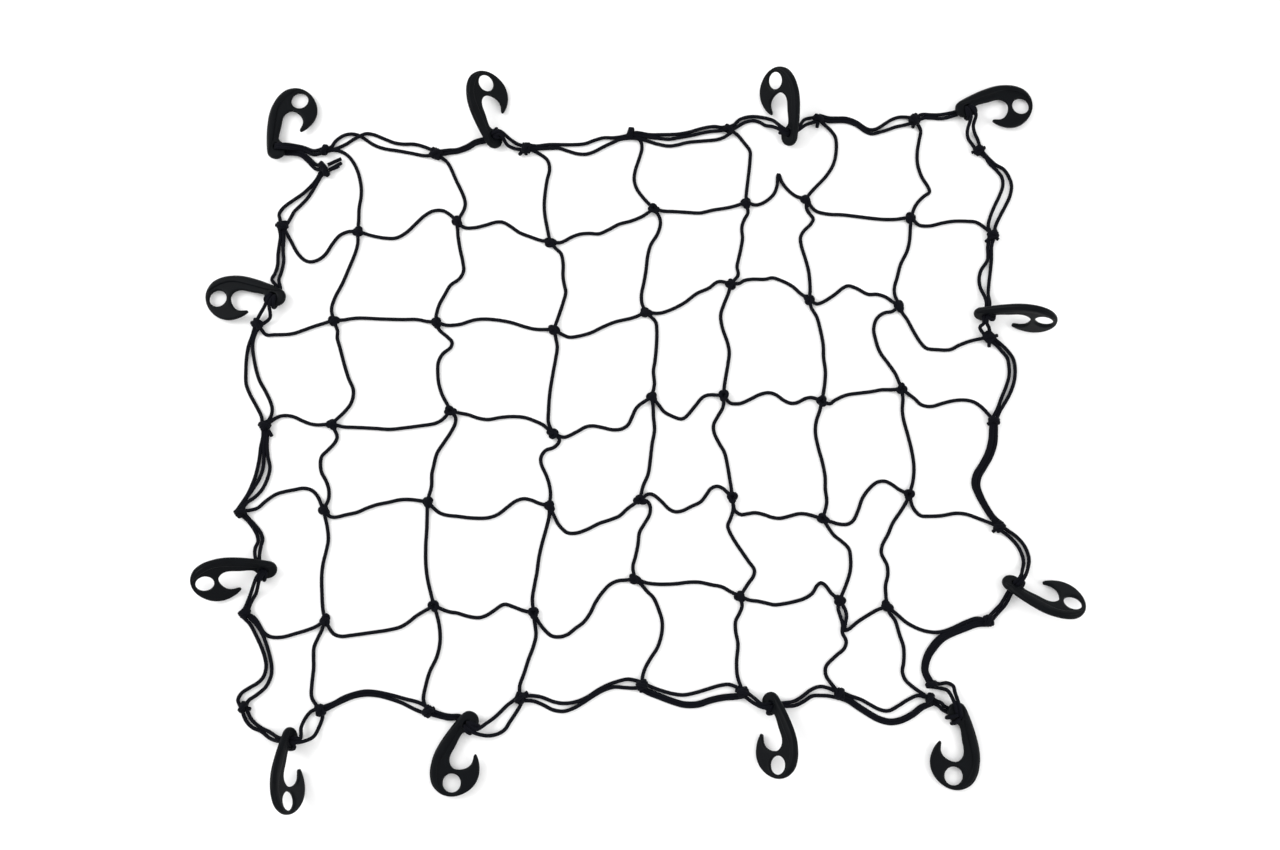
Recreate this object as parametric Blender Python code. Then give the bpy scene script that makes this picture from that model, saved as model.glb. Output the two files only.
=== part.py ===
"""Elastic cargo net with moulded hooks, laid flat on a level surface.

X runs along the long side, Y along the short side, +Z up, and the surface is Z = 0.
All sizes below are millimetres; meshes are made in metres.

The net is three kinds of piece:
  mesh     seven upright and five level inner cords, knotted to one another where they cross
  border   the cord laid double round the edge, tied at the border knots, threaded through every hook
  hook_N   the moulded hook: shank and spine, curled head with a round hole, and the eye the cord runs through
"""
import math

import bmesh
import bpy
from mathutils import Matrix, Vector

MM = 0.001

# middle of the laid-out net in the tables' coordinates; the net is placed with it at the origin
MIDDLE_X = -4.8
MIDDLE_Y = -1.8

# ---------------------------------------------------------------- cord
CORD_DIAMETER = 3.3
CORD_SIDES = 5
CORD_RADIUS = 0.545 * CORD_DIAMETER
REST = CORD_RADIUS * math.cos(math.pi / CORD_SIDES)
CURVE_STEPS = 8
RING_TOLERANCE = 1.8
EYE_TOLERANCE = 0.9
KNOT_RAMP = 13.0
EYE_RAMP = 24.0

# ---------------------------------------------------------------- knots
# station along the knot, radius there; the inner knots have two wrapped ridges, the border knots are plain lumps
INNER_KNOT = ((-5.6, 2.6), (-2.9, 4.9), (0.0, 3.7), (2.9, 4.9), (5.6, 2.6))
BORDER_KNOT = ((-7.0, 3.0), (-2.9, 5.2), (2.9, 5.2), (7.0, 3.0))
KNOT_SIDES = 5
INNER_KNOT_Z = 4.9 * math.cos(math.pi / KNOT_SIDES)
BORDER_KNOT_Z = 5.2 * math.cos(math.pi / KNOT_SIDES)
SEAT_GAP = 0.35
WELD = 0.35
KNOT_BITE = 2.6
KNOT_LANE = 1.95

# knot: x, y, turn of its wraps in degrees; rows a to e from the top, columns 1 to 7 from the left
INNER_KNOTS = {
    "a1": (-289.0, 202.0, 10), "a2": (-188.0, 213.0, 120), "a3": (-92.0, 190.5, 170), "a4": (14.0, 226.0, 160),
    "a5": (109.0, 233.0, 95), "a6": (171.0, 236.0, 125), "a7": (278.0, 217.0, 65),
    "b1": (-310.0, 107.5, 170), "b2": (-206.5, 105.5, 110), "b3": (-87.0, 98.0, 150), "b4": (6.0, 116.0, 165),
    "b5": (92.5, 146.0, 110), "b6": (171.5, 129.5, 140), "b7": (263.0, 123.0, 105),
    "c1": (-307.5, 0.5, 130), "c2": (-189.5, 13.5, 170), "c3": (-87.0, -9.0, 165), "c4": (12.0, 28.5, 125),
    "c5": (84.0, 29.5, 85), "c6": (182.0, 24.0, 115), "c7": (262.0, 36.5, 60),
    "d1": (-312.0, -86.0, 135), "d2": (-210.0, -78.0, 95), "d3": (-89.5, -82.0, 125), "d4": (0.0, -76.0, 170),
    "d5": (91.0, -73.5, 85), "d6": (180.0, -95.0, 155), "d7": (266.0, -71.0, 75),
    "e1": (-306.0, -194.0, 80), "e2": (-200.5, -180.0, 120), "e3": (-103.5, -187.0, 100), "e4": (-5.0, -154.0, 150),
    "e5": (97.5, -171.0, 125), "e6": (194.5, -174.5, 160), "e7": (240.5, -180.5, 140),
}
BORDER_KNOTS = {
    "t1": (-326.5, 290.0, 162), "t2": (-211.5, 286.5, 155), "t3": (-118.0, 292.0, 175), "t4": (-10.0, 309.0, 165),
    "t5": (92.5, 313.0, 64), "t6": (185.5, 324.5, 70), "t7": (285.5, 323.0, 60), "tr": (350.5, 290.0, 130),
    "r1": (361.0, 197.0, 110), "r2": (352.0, 90.0, 130), "r3": (353.0, 4.0, 80), "r4": (353.0, -102.5, 130),
    "r5": (338.5, -194.5, 10), "br": (280.5, -255.5, 100), "f7": (278.5, -269.0, 160), "f6": (192.0, -264.5, 0),
    "f5": (99.0, -263.0, 110), "f4": (2.0, -256.0, 110), "f3": (-115.5, -268.5, 165), "f2": (-203.5, -281.0, 145),
    "f1": (-307.0, -280.0, 20), "bl": (-381.0, -277.0, 160), "l5": (-384.0, -187.0, 135), "l4": (-393.5, -88.0, 130),
    "l3": (-373.5, -1.0, 110), "l2": (-386.5, 103.5, 60), "l1": (-366.0, 207.5, 102), "tl": (-327.5, 271.5, 40),
}

# inner cords: knot, points along the cord, knot, points, ... knot; the first and last are border knots
UPRIGHT_CORDS = (
    ("t1", (-311, 285), (-301, 281), (-292, 266), (-287.5, 250), (-288, 225),
     "a1", (-290, 183), (-302, 148), (-312, 122),
     "b1", (-306, 98), (-304, 82), (-290, 42), (-288, 28), (-296, 13),
     "c1", (-302, -12), (-310, -25), (-317, -34), (-315, -50), (-308, -68),
     "d1", (-307, -110), (-311.5, -150), (-309.5, -180),
     "e1", (-315.5, -218), (-316, -240), (-316, -262), "f1"),
    ("t2", (-199.5, 277.5), (-186, 250), (-180, 236), (-183, 221),
     "a2", (-185.5, 190), (-180, 162), (-184, 152), (-196, 140), (-206, 118),
     "b2", (-192, 88), (-191, 80), (-201, 70), (-203.5, 55), (-198, 30),
     "c2", (-184.5, 3), (-199, -23), (-206.5, -50), (-207.5, -68),
     "d2", (-210.5, -120), (-207, -158),
     "e2", (-195, -200), (-195, -222), (-205, -248), (-206, -268), "f2"),
    ("t3", (-107, 285), (-96, 279), (-94, 268), (-98.5, 232),
     "a3", (-82, 181), (-78.5, 165), (-76, 138), (-80, 118),
     "b3", (-83.5, 80), (-90, 38), (-91.5, 4),
     "c3", (-80.5, -17), (-96, -28), (-98.5, -38), (-90, -60),
     "d3", (-95, -115), (-101, -148), (-105, -172),
     "e3", (-101, -207), (-110, -238), (-116, -256), "f3"),
    ("t4", (-5.5, 298), (1.5, 291), (-5, 268), (-5, 252), (6, 234),
     "a4", (21, 213), (18, 200), (9, 182), (4, 148), (1.5, 130),
     "b4", (16, 105), (16, 80), (13.5, 55), (14, 42),
     "c4", (13.5, 8), (14.5, -6), (9, -45), (2, -64),
     "d4", (10, -81), (8, -93), (-1, -110), (-6, -140),
     "e4", (10, -169), (20, -188), (21, -207), (10, -231), (3.5, -245), "f4"),
    ("t5", (104, 304), (114, 289), (113, 268), (109.5, 242),
     "a5", (108.5, 219), (104.5, 206), (104, 188), (99, 166), (100.5, 155),
     "b5", (88, 131), (82, 112), (89, 82), (88.5, 62),
     "c5", (80, 12), (73.5, -2), (84, -28), (89, -55),
     "d5", (91, -90), (86.5, -102), (100, -127), (112, -144), (106, -158),
     "e5", (98, -186), (93, -198), (94.5, -217), (94, -245), "f5"),
    ("t6", (193, 313.5), (203, 301), (203, 288), (192, 262),
     "a6", (177.5, 217), (166, 201), (165, 188), (171, 165), (174, 142),
     "b6", (182, 100), (185, 78), (186, 50),
     "c6", (175.5, 0), (177.5, -23), (183, -50), (184, -78),
     "d6", (190, -110), (204, -122), (206, -144), (199, -164),
     "e6", (195, -193), (199, -216), (190, -228), (179, -239), (184, -250), (191, -257), "f6"),
    ("t7", (292, 313), (288, 292), (287.5, 276), (298, 248), (287, 236),
     "a7", (276, 193), (266, 167), (259, 145),
     "b7", (253, 117), (241, 110), (237, 96), (244, 72), (258, 50),
     "c7", (262.5, 14), (267, -10), (272, -40), (270, -58),
     "d7", (252, -95), (237.5, -123), (242.5, -144), (240, -165),
     "e7", (252, -207), (255, -230), (254, -243), (265.5, -256.5), "f7"),
)
LEVEL_CORDS = (
    ("l1", (-354.5, 190), (-345, 174), (-336, 170), (-325, 175), (-312, 194), (-300, 202),
     "a1", (-262, 195.5), (-247, 196), (-228, 214), (-210, 225), (-198, 222),
     "a2", (-172, 206.5), (-145, 213), (-130, 206), (-112, 196.5),
     "a3", (-80, 191), (-62, 199.5), (-42, 200), (-18, 211.5),
     "a4", (38, 224), (62, 222.5), (92, 228),
     "a5", (122, 231.5), (136, 240.5), (142.5, 265), (149, 251),
     "a6", (182, 223.5), (207, 220.5), (248, 215.5), (265, 216.5),
     "a7", (291, 208.5), (322, 213.5), (342, 213), "r1"),
    ("l2", (-376, 92.5), (-350, 94), (-325, 103.5),
     "b1", (-290, 110), (-240, 109), (-218, 106),
     "b2", (-186, 103.5), (-160, 109.5), (-131, 106), (-105, 98.5),
     "b3", (-70, 90.5), (-48, 96), (-22, 107.5),
     "b4", (28, 118), (58, 136), (80, 149.5),
     "b5", (106, 150), (135, 152.5), (158, 142),
     "b6", (182, 126), (207, 142.5), (218, 143), (234, 135.5), (250, 132.5),
     "b7", (274, 101), (289, 79.5), (313, 77.5), (334, 86), "r2"),
    ("l3", (-354, 9.5), (-329, 1),
     "c1", (-270, -3), (-240, -4), (-206, 1.5),
     "c2", (-170, 10), (-152, 5.5), (-122, 8), (-98, 0),
     "c3", (-74, -12), (-50, -1.5), (-26, -5), (-12, 1), (-2, 19),
     "c4", (25, 12.5), (42, 6), (60, 26), (70, 31),
     "c5", (97, 21.5), (127, 33), (152, 22), (170, 28),
     "c6", (190, 21), (212, 31.5), (243, 36),
     "c7", (281, 21.5), (293, 19), (323, 25.5), (341, 20), "r3"),
    ("l4", (-376, -83), (-355, -68), (-334, -64), (-320, -70), (-316, -80),
     "d1", (-303, -93), (-276, -87), (-248, -78), (-225, -75.5),
     "d2", (-196, -89), (-166, -93.5), (-146, -93), (-125, -78), (-110, -75),
     "d3", (-81, -99), (-68, -109), (-42, -100), (-18, -90),
     "d4", (11, -69.5), (32, -87), (56, -80), (68, -66), (78, -62),
     "d5", (98, -90.5), (114, -88.5), (137, -94), (159, -89.5),
     "d6", (203, -100), (213, -91), (225, -66), (241, -57),
     "d7", (274, -89.5), (290, -92), (315, -89), (334, -94.5), "r4"),
    ("l5", (-373, -190), (-365.5, -203), (-356, -210), (-335, -207),
     "e1", (-299, -206), (-288, -209.5), (-245, -203.5), (-224, -195),
     "e2", (-180, -187), (-157, -191.5), (-131, -178.5), (-118, -183),
     "e3", (-92, -204), (-79, -210), (-55, -196), (-32, -162), (-18, -155),
     "e4", (18, -159), (55, -157), (80, -161.5),
     "e5", (130, -179), (160, -173), (177, -157.5),
     "e6", (200.5, -188), (198, -205), (212, -195.5),
     "e7", (262, -198), (280, -204.5), (296, -202), (316, -193), (330, -188.5), "r5"),
)
SHARP_BENDS = ((142.5, 265),)

# border cord: knot, lane there, next knot, lane there, points between; a lane is counted to the left of the way
# the cord runs, and "h3a" is the passage through the eye of hook 3 in lane a, b is the other lane; a point may
# carry its height, where the cord lies over another
BORDER_RUNS = (
    ("t1", -1, "tl", 1, ((-337, 295), (-348, 298.5), "h1a", (-352, 289), (-342, 281))),
    ("t1", 1, "tl", -1, ((-338, 290), (-348, 294.3), "h1b", (-352, 284.5), (-345, 276.5), (-337, 269.5))),
    ("t1", 1, "t2", -1, ((-318, 300), (-309, 306.5), (-300, 308.8), (-290, 305.5), (-276, 296.5), (-225, 285.5))),
    ("t1", -1, "t2", 1, ((-314, 294.5), (-299, 301.8), (-292, 306.2, 4.4), (-284, 309.5), (-265, 303), (-250, 297.5), (-228, 296))),
    ("t2", 1, "t3", 1, ((-196, 291), (-182, 294), (-170, 300.5), "h2a", (-140, 306), (-129, 298))),
    ("t2", -1, "t3", -1, ((-196, 286.5), (-181, 289), (-170, 293.5), "h2b", (-140.5, 298.3), (-133.5, 291.5))),
    ("t3", 2, "t4", 1, ((-100, 297.2), (-80, 297.5), (-58, 298), (-42, 304.3), (-22, 305))),
    ("t3", 0, "t4", -1, ((-98, 292.8), (-82, 293), (-58, 286.5), (-40, 293), (-25, 301))),
    ("t4", 3, "t5", 2, ((12, 310.5), (38, 308.5), (65, 315), (80, 317))),
    ("t4", 1, "t5", 0, ((10, 306), (32, 303), (58, 308), (76, 312))),
    ("t4", -1, "t5", -2, ((10, 301), (30, 295.5), (50, 299.5), (80, 302.5))),
    ("t5", 2, "t6", 1, ((104, 325), (118, 328), (136, 325), "h3a", (171, 324))),
    ("t5", 0, "t6", -1, ((106, 320), (117, 323), (133, 316), "h3b", (171, 317.5))),
    ("t6", 2, "t7", 1, ((205, 326), (219, 324.5), (234, 316), (243, 313.8), (255, 320), (270, 327))),
    ("t6", 0, "t7", -1, ((204, 321.8), (217, 320), (231, 312), (241, 309.3), (257, 313), (272, 317.5))),
    ("t7", 1, "tr", 1, ((303, 330.3), (316, 331), "h4a", (348, 314), (351, 303))),
    ("t7", -1, "tr", -1, ((302, 326), (317, 325.5), "h4b", (341.5, 312), (344, 302))),
    ("tr", -1, "r1", -1, ((361, 277.5), (370, 267), (374.5, 255), (370, 240), (361, 221))),
    ("tr", 1, "r1", 1, ((367, 276.5), (380, 265), (383, 250), (375, 229), (366, 210))),
    ("r1", -1, "r2", -1, ((355.5, 175), (346.5, 157), (346, 143), (351, 131), "h7b", (346.3, 101))),
    ("r1", 1, "r2", 1, ((360.3, 175), (356.5, 156), (354.5, 142), (355.5, 131), "h7a", (354.5, 101))),
    ("r2", -1, "r3", -1, ((362.5, 78), (371, 65), (370.5, 48), (362, 26))),
    ("r2", 1, "r3", 1, ((369, 78.5), (377, 63), (375.5, 43), (366.5, 24))),
    ("r3", -1, "r4", 0, ((349, -13), (344, -30), (331, -52), (331, -65), (341, -84))),
    ("r3", 1, "r4", 2, ((354.5, -13), (349, -33), (336, -55), (336, -65), (346.5, -84))),
    ("r4", -1, "r5", -1, ((367, -115.5), (375.5, -132), (374, -145), "h8b", (347, -176))),
    ("r4", 1, "r5", 1, ((370, -112), (381, -130), (379.5, -144), "h8a", (353, -179))),
    ("r5", 0, "br", -1, ((326, -194.5), (305, -203.8), (291, -210.5), (280, -221), (274.5, -233), (273.5, -244))),
    ("r5", 2, "br", 1, ((326, -198.8), (305, -208.4), (293, -215.5), (284, -224.5), (279.3, -234), (278, -244))),
    ("br", 1, "f7", 1, ((291, -254), (301, -255.5), (305, -263), "h12a", (286.5, -286))),
    ("br", -1, "f7", -1, ((290, -259), (297, -262.5), "h12b", (288, -277.5))),
    ("f7", 0, "f6", -1, ((262, -269), (238, -280.5), (215, -271))),
    ("f7", 2, "f6", 1, ((264, -280), (240, -288.5), (213, -277))),
    ("f6", 0, "f5", -1, ((180, -257), (166, -260), (150, -271), "h11b", (110, -267))),
    ("f6", 2, "f5", 1, ((178, -267.5), (166, -265.5), (151, -275.5), "h11a", (110.5, -276.3))),
    ("f5", -1, "f4", -1, ((86, -255.5), (62, -261), (42, -265.3), (18, -260.5))),
    ("f5", 1, "f4", 1, ((80, -266.5), (55, -273), (42, -272.5), (18, -265))),
    ("f4", -1, "f3", -1, ((-12, -250.5), (-35, -257.5), (-60, -271), (-75, -273.3), (-98, -266.5))),
    ("f4", 1, "f3", 1, ((-14, -258.5), (-35, -262.2), (-60, -276.5), (-75, -280.5), (-98, -272.5))),
    ("f3", -1, "f2", -1, ((-127, -274), (-139, -285), "h10b", (-183, -282.5))),
    ("f3", 1, "f2", 1, ((-119, -283), (-130, -297), (-143, -302), "h10a", (-184, -288.5))),
    ("f2", -1, "f1", -1, ((-216, -271.5), (-240, -264.5), (-262, -260.5), (-284, -266))),
    ("f2", 1, "f1", 1, ((-218, -277.5), (-240, -269.5), (-262, -264.8), (-282, -270.5))),
    ("f1", -1, "bl", -1, ((-320, -289), "h9b", (-354, -300), (-368, -291))),
    ("f1", 1, "bl", 1, ((-307, -296), (-316, -310), "h9a", (-354, -308), (-366, -300), (-376, -292))),
    ("bl", 1, "l5", 2, ((-387, -268), (-376, -258.5), (-362.5, -246), (-362, -232), (-366.5, -220))),
    ("bl", -1, "l5", 0, ((-371, -267), (-357.5, -254), (-356.5, -238), (-362, -219), (-375, -197.5))),
    ("l5", 1, "l4", 1, ((-382, -171), "h6a", (-377.5, -122), (-377, -113), (-382, -102))),
    ("l5", -1, "l4", -1, ((-377.5, -172), "h6b", (-372, -123), (-371.5, -113), (-377, -101))),
    ("l4", 2, "l3", 1, ((-388, -70), (-381, -52), (-377.5, -22))),
    ("l4", 0, "l3", -1, ((-382, -71), (-370, -55), (-367.5, -42), (-371, -22))),
    ("l3", 2, "l2", 1, ((-384, 19), (-395, 41), (-397, 62), (-394.5, 82))),
    ("l3", 0, "l2", -1, ((-370, 17), (-376, 36), (-387, 58), (-390, 82))),
    ("l2", 1, "l1", 2, ((-380.5, 114), "h5a", (-378, 150), (-371, 168), (-370.5, 188))),
    ("l2", -1, "l1", 0, ((-375.5, 110), "h5b", (-367.5, 152), (-365, 168), (-366.5, 188))),
    ("l1", 1, "tl", 0, ((-371.5, 221), (-364, 231), (-348, 243), (-337, 256))),
    ("l1", -1, "tl", -2, ((-357.5, 219), (-349, 231.5), (-339, 245), (-332, 257))),
)
# free ends: knot, x, y of the end
FREE_ENDS = (
    ("tl", -313.0, 280.0), ("tl", -311.5, 273.5), ("t3", -127.0, 284.0), ("t3", -119.5, 283.4), ("r2", 351.5, 78.0),
    ("t6", 185.5, 313.5), ("l3", -367.0, -12.5),
)
FREE_END_Z = 3.0

# ---------------------------------------------------------------- hook
# own axes: x from the spine to the mouth, y from the eye to the head, z through the plate; the eye is at 0, 0
WEB_THICKNESS = 4.4
RIB_THICKNESS = 7.4
EYE_THICKNESS = 6.6
EYE_WIDE = 22.0
EYE_LONG = 23.0
EYE_CENTRE_Y = -1.0
EYE_HOLE = 14.4
HOLE_DIAMETER = 18.8
HOLE_X = 21.3
HOLE_Y = 53.4
ROUND_SIDES = 10

WEB_OUTLINE = (
    (-7.6, 0.0), (-10.2, 17.0), (-9.9, 34.0), (-6.7, 47.8), (-0.6, 57.8), (8.0, 64.5), (18.5, 66.4), (28.5, 62.8),
    (35.6, 54.6), (39.2, 43.3), (37.8, 32.6), (31.6, 23.4), (24.9, 18.6), (23.4, 19.6), (26.5, 26.0), (25.6, 33.8),
    (21.0, 39.8), (14.2, 41.8), (8.0, 39.9), (4.8, 34.6), (1.0, 9.0), (1.0, 0.0),
)
RIB_OUTLINE = (
    (-8.0, 10.5), (-8.6, 34.0), (-5.4, 47.2), (0.6, 57.0), (9.0, 63.2), (17.0, 64.7),
    (9.0, 58.6), (1.2, 48.2), (-1.4, 34.0), (-2.6, 10.5),
)

# hook: x, y of the eye, way the shank points in degrees, side of the mouth (1 right, -1 left), roll in degrees,
# height of the eye, how far the cords have slid in the eye towards the head
HOOKS = {
    1: (-375.5, 291.0, 90.0, 1, 0.0, 7.6, 0.0),
    2: (-153.5, 303.5, 115.0, 1, 29.0, 9.5, 0.0),
    3: (156.5, 306.0, 93.0, -1, 42.0, 10.7, 1.4),
    4: (340.0, 335.5, 24.0, 1, 3.0, 8.0, 0.0),
    5: (-371.0, 131.0, 158.0, -1, 0.0, 7.6, 0.0),
    6: (-365.5, -145.5, 177.0, -1, 37.0, 10.6, 2.0),
    7: (348.0, 109.5, 0.0, 1, 68.0, 12.0, 0.0),
    8: (363.0, -161.5, -31.0, -1, 39.0, 12.5, 1.5),
    9: (-332.0, -307.5, -100.0, -1, 59.0, 12.5, 1.5),
    10: (-167.0, -291.5, -123.0, -1, 0.0, 7.6, 0.0),
    11: (126.5, -274.0, -69.0, 1, 36.0, 11.5, 1.5),
    12: (305.5, -285.0, -76.0, 1, 0.0, 7.6, 0.0),
}
LEAN_LIMIT = 20.0
LEAST_SLOPE = 50.0
LANE = 2.0
# passage of a cord through the eye, in the hook's own axes. A flat hook is crossed in a bend, given as x, z; hook 1
# turns the cord back on itself, given as x, z; a rolled hook is crossed straight; two hooks lead the cord round the
# corner, from the mouth side out over the end of the eye, given as x, y, z
BENT_PASSAGE = ((11.0, 5.9), (7.0, 5.9), (4.2, 4.3), (0.0, 0.0), (-4.2, -4.3), (-7.0, -5.9), (-11.0, -5.9))
TURNED_PASSAGE = ((12.0, 5.9), (7.0, 5.9), (3.6, 4.2), (2.2, 0.0), (3.6, -4.2), (7.0, -5.9), (12.0, -5.9))
CORNER_PASSAGES = {
    "a": ((12.0, 2.0, 5.9), (7.0, 2.0, 5.9), (3.6, 1.8, 3.8), (-0.5, 0.5, 0.0), (-2.4, -2.4, -4.0), (-2.8, -7.0, -5.8),
          (-2.8, -13.0, -5.9)),
    "b": ((12.0, -2.0, 5.9), (7.0, -2.0, 5.9), (4.2, -2.2, 3.8), (2.4, -2.2, 0.0), (1.6, -2.8, -4.0), (1.4, -7.0, -5.8),
          (1.4, -13.0, -5.9)),
}
# corner hook: 1 where the mouth leg lies over the hook, -1 where it lies under
CORNER_HOOKS = {4: 1, 12: -1}
TURNED_HOOKS = (1,)
STRAIGHT_REACH = 10.0


# ---------------------------------------------------------------- curves
def curve_through(points, straight_at=()):
    """Centripetal Catmull-Rom curve through 3-D points, kept above the surface; straight_at points keep their corner."""
    sharp = [i for i, point in enumerate(points) if (point.x, point.y) in straight_at]
    if sharp:
        cut = sharp[0]
        first = curve_through(points[:cut + 1])
        return first[:-1] + curve_through(points[cut:])
    ends = [points[0] * 2 - points[1]] + points + [points[-1] * 2 - points[-2]]
    result = [points[0]]
    for i in range(1, len(ends) - 2):
        p0, p1, p2, p3 = ends[i - 1:i + 3]
        t1 = (p1 - p0).length ** 0.5
        t2 = t1 + (p2 - p1).length ** 0.5
        t3 = t2 + (p3 - p2).length ** 0.5
        for step in range(1, CURVE_STEPS + 1):
            t = t1 + (t2 - t1) * step / CURVE_STEPS
            a1 = p0 * ((t1 - t) / t1) + p1 * (t / t1)
            a2 = p1 * ((t2 - t) / (t2 - t1)) + p2 * ((t - t1) / (t2 - t1))
            a3 = p2 * ((t3 - t) / (t3 - t2)) + p3 * ((t - t2) / (t3 - t2))
            b1 = a1 * ((t2 - t) / t2) + a2 * (t / t2)
            b2 = a2 * ((t3 - t) / (t3 - t1)) + a3 * ((t - t1) / (t3 - t1))
            result.append(b1 * ((t2 - t) / (t2 - t1)) + b2 * ((t - t1) / (t2 - t1)))
            result[-1].z = max(result[-1].z, REST)
    return result


def ring_points(curve, tolerance):
    """Points of the curve that carry a ring, so that straight runs between them stay within the tolerance."""
    first, last = curve[0], curve[-1]
    span = last - first
    offsets = [(point - first).cross(span).length / span.length for point in curve]
    widest = max(range(len(curve)), key=offsets.__getitem__)
    if offsets[widest] <= tolerance:
        return [first, last]
    return ring_points(curve[:widest + 1], tolerance)[:-1] + ring_points(curve[widest:], tolerance)


# ---------------------------------------------------------------- solids, all into one bmesh, in millimetres
def loft(bm, rings):
    """Skin equal rings of points into one closed body with flat ends."""
    loops = [[bm.verts.new(point) for point in ring] for ring in rings]
    count = len(loops[0])
    for low, high in zip(loops, loops[1:]):
        for k in range(count):
            bm.faces.new((low[k], low[(k + 1) % count], high[(k + 1) % count], high[k]))
    bm.faces.new(list(reversed(loops[0])))
    bm.faces.new(loops[-1])


def add_strand(bm, points):
    """Cord carried along points, one flat side kept down so that it rests level on the surface."""
    rings = []
    for i, point in enumerate(points):
        ahead = (points[min(i + 1, len(points) - 1)] - points[i]).normalized()
        behind = (points[i] - points[max(i - 1, 0)]).normalized()
        along = (ahead + behind).normalized()
        across = along.cross(Vector((0.0, 0.0, 1.0))).normalized()
        lift = across.cross(along)
        half_bend = ahead.angle(behind, 0.0) / 2.0 if 0 < i < len(points) - 1 else 0.0
        widen = 1.0 / max(math.cos(half_bend), 0.7)
        ring = []
        for k in range(CORD_SIDES):
            angle = -math.pi / 2 + math.pi / CORD_SIDES + 2 * math.pi * k / CORD_SIDES
            ring.append(point + across * (CORD_RADIUS * widen * math.cos(angle)) + lift * (CORD_RADIUS * math.sin(angle)))
        rings.append(ring)
    loft(bm, rings)


def add_knot(bm, x, y, turn, stations, height):
    """Knot lump lying level along its turn, its widest rings resting on the surface."""
    along = Vector((math.cos(math.radians(turn)), math.sin(math.radians(turn)), 0.0))
    across = Vector((along.y, -along.x, 0.0))
    centre = Vector((x, y, height))
    rings = []
    for place, radius in stations:
        ring = []
        for k in range(KNOT_SIDES):
            angle = -math.pi / 2 + math.pi / KNOT_SIDES + 2 * math.pi * k / KNOT_SIDES
            ring.append(centre + along * place + across * (radius * math.cos(angle))
                        + Vector((0.0, 0.0, radius * math.sin(angle))))
        rings.append(ring)
    loft(bm, rings)


def add_prism(bm, outline, thickness):
    """Outline in the plate's plane carried through its thickness."""
    half = thickness / 2.0
    loft(bm, [[Vector((x, y, -half)) for x, y in outline], [Vector((x, y, half)) for x, y in outline]])


def oval(wide, long, sides, x=0.0, y=0.0):
    """Outline of an oval, wide in x and long in y."""
    return [(x + wide / 2.0 * math.cos(2 * math.pi * (k + 0.5) / sides),
             y + long / 2.0 * math.sin(2 * math.pi * (k + 0.5) / sides)) for k in range(sides)]


# ---------------------------------------------------------------- objects
def finish_object(name, bm, material):
    """Turn a bmesh in millimetres into a named object in metres, faces outward."""
    bmesh.ops.scale(bm, vec=(MM, MM, MM), verts=bm.verts)
    bmesh.ops.recalc_face_normals(bm, faces=bm.faces)
    mesh = bpy.data.meshes.new(name)
    bm.to_mesh(mesh)
    bm.free()
    mesh.materials.append(material)
    obj = bpy.data.objects.new(name, mesh)
    bpy.context.collection.objects.link(obj)
    return obj


def combine(name, body, others):
    """Join and cut body by the others, each given as an object and the operation, and return the finished object."""
    for tool, operation in others:
        cut = body.modifiers.new(operation.lower(), "BOOLEAN")
        cut.operation = operation
        cut.solver = "EXACT"
        cut.use_self = operation == "UNION"
        cut.object = tool
        tool.hide_render = True
        tool.display_type = "WIRE"
    graph = bpy.context.evaluated_depsgraph_get()
    mesh = bpy.data.meshes.new_from_object(body.evaluated_get(graph))
    bm = bmesh.new()
    bm.from_mesh(mesh)
    bmesh.ops.remove_doubles(bm, verts=bm.verts, dist=WELD * MM)
    bmesh.ops.dissolve_degenerate(bm, edges=bm.edges, dist=WELD * MM)
    bmesh.ops.triangulate(bm, faces=bm.faces)
    bm.to_mesh(mesh)
    bm.free()
    result = bpy.data.objects.new(name, mesh)
    bpy.context.collection.objects.link(result)
    for obj in [body] + [tool for tool, operation in others]:
        bpy.data.objects.remove(obj)
    return result


def plastic(name, colour, roughness):
    material = bpy.data.materials.new(name)
    material.use_nodes = True
    shader = material.node_tree.nodes["Principled BSDF"]
    shader.inputs["Base Color"].default_value = (*colour, 1.0)
    shader.inputs["Roughness"].default_value = roughness
    return material


def shade_smooth(obj, angle):
    obj.data.shade_smooth()
    obj.data.set_sharp_from_angle(angle=math.radians(angle))


# ---------------------------------------------------------------- hooks
def hook_matrix(number, pitch):
    """Own axes of a hook in the net's frame: the spine is rolled up, the head lifted by the pitch."""
    x, y, heading, side, roll, height, slide = HOOKS[number]
    turn = math.radians(heading)
    forward = Vector((math.cos(turn), math.sin(turn), 0.0))
    sideways = Vector((math.sin(turn), -math.cos(turn), 0.0)) * side
    upward = Vector((0.0, 0.0, 1.0))
    y_axis = forward * math.cos(pitch) + upward * math.sin(pitch)
    z_level = upward * math.cos(pitch) - forward * math.sin(pitch)
    x_axis = sideways * math.cos(math.radians(roll)) - z_level * math.sin(math.radians(roll))
    z_axis = x_axis.cross(y_axis)
    turned = Matrix((x_axis, y_axis, z_axis)).transposed().to_4x4()
    return Matrix.Translation((x, y, height)) @ turned


def resting_matrix(number, points):
    """Lift the head from below until no point of the hook is under the surface."""
    pitch = math.radians(-15.0)
    while True:
        matrix = hook_matrix(number, pitch)
        if min((matrix @ point).z for point in points) >= 0.0:
            return matrix
        pitch += math.radians(0.1)


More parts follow.
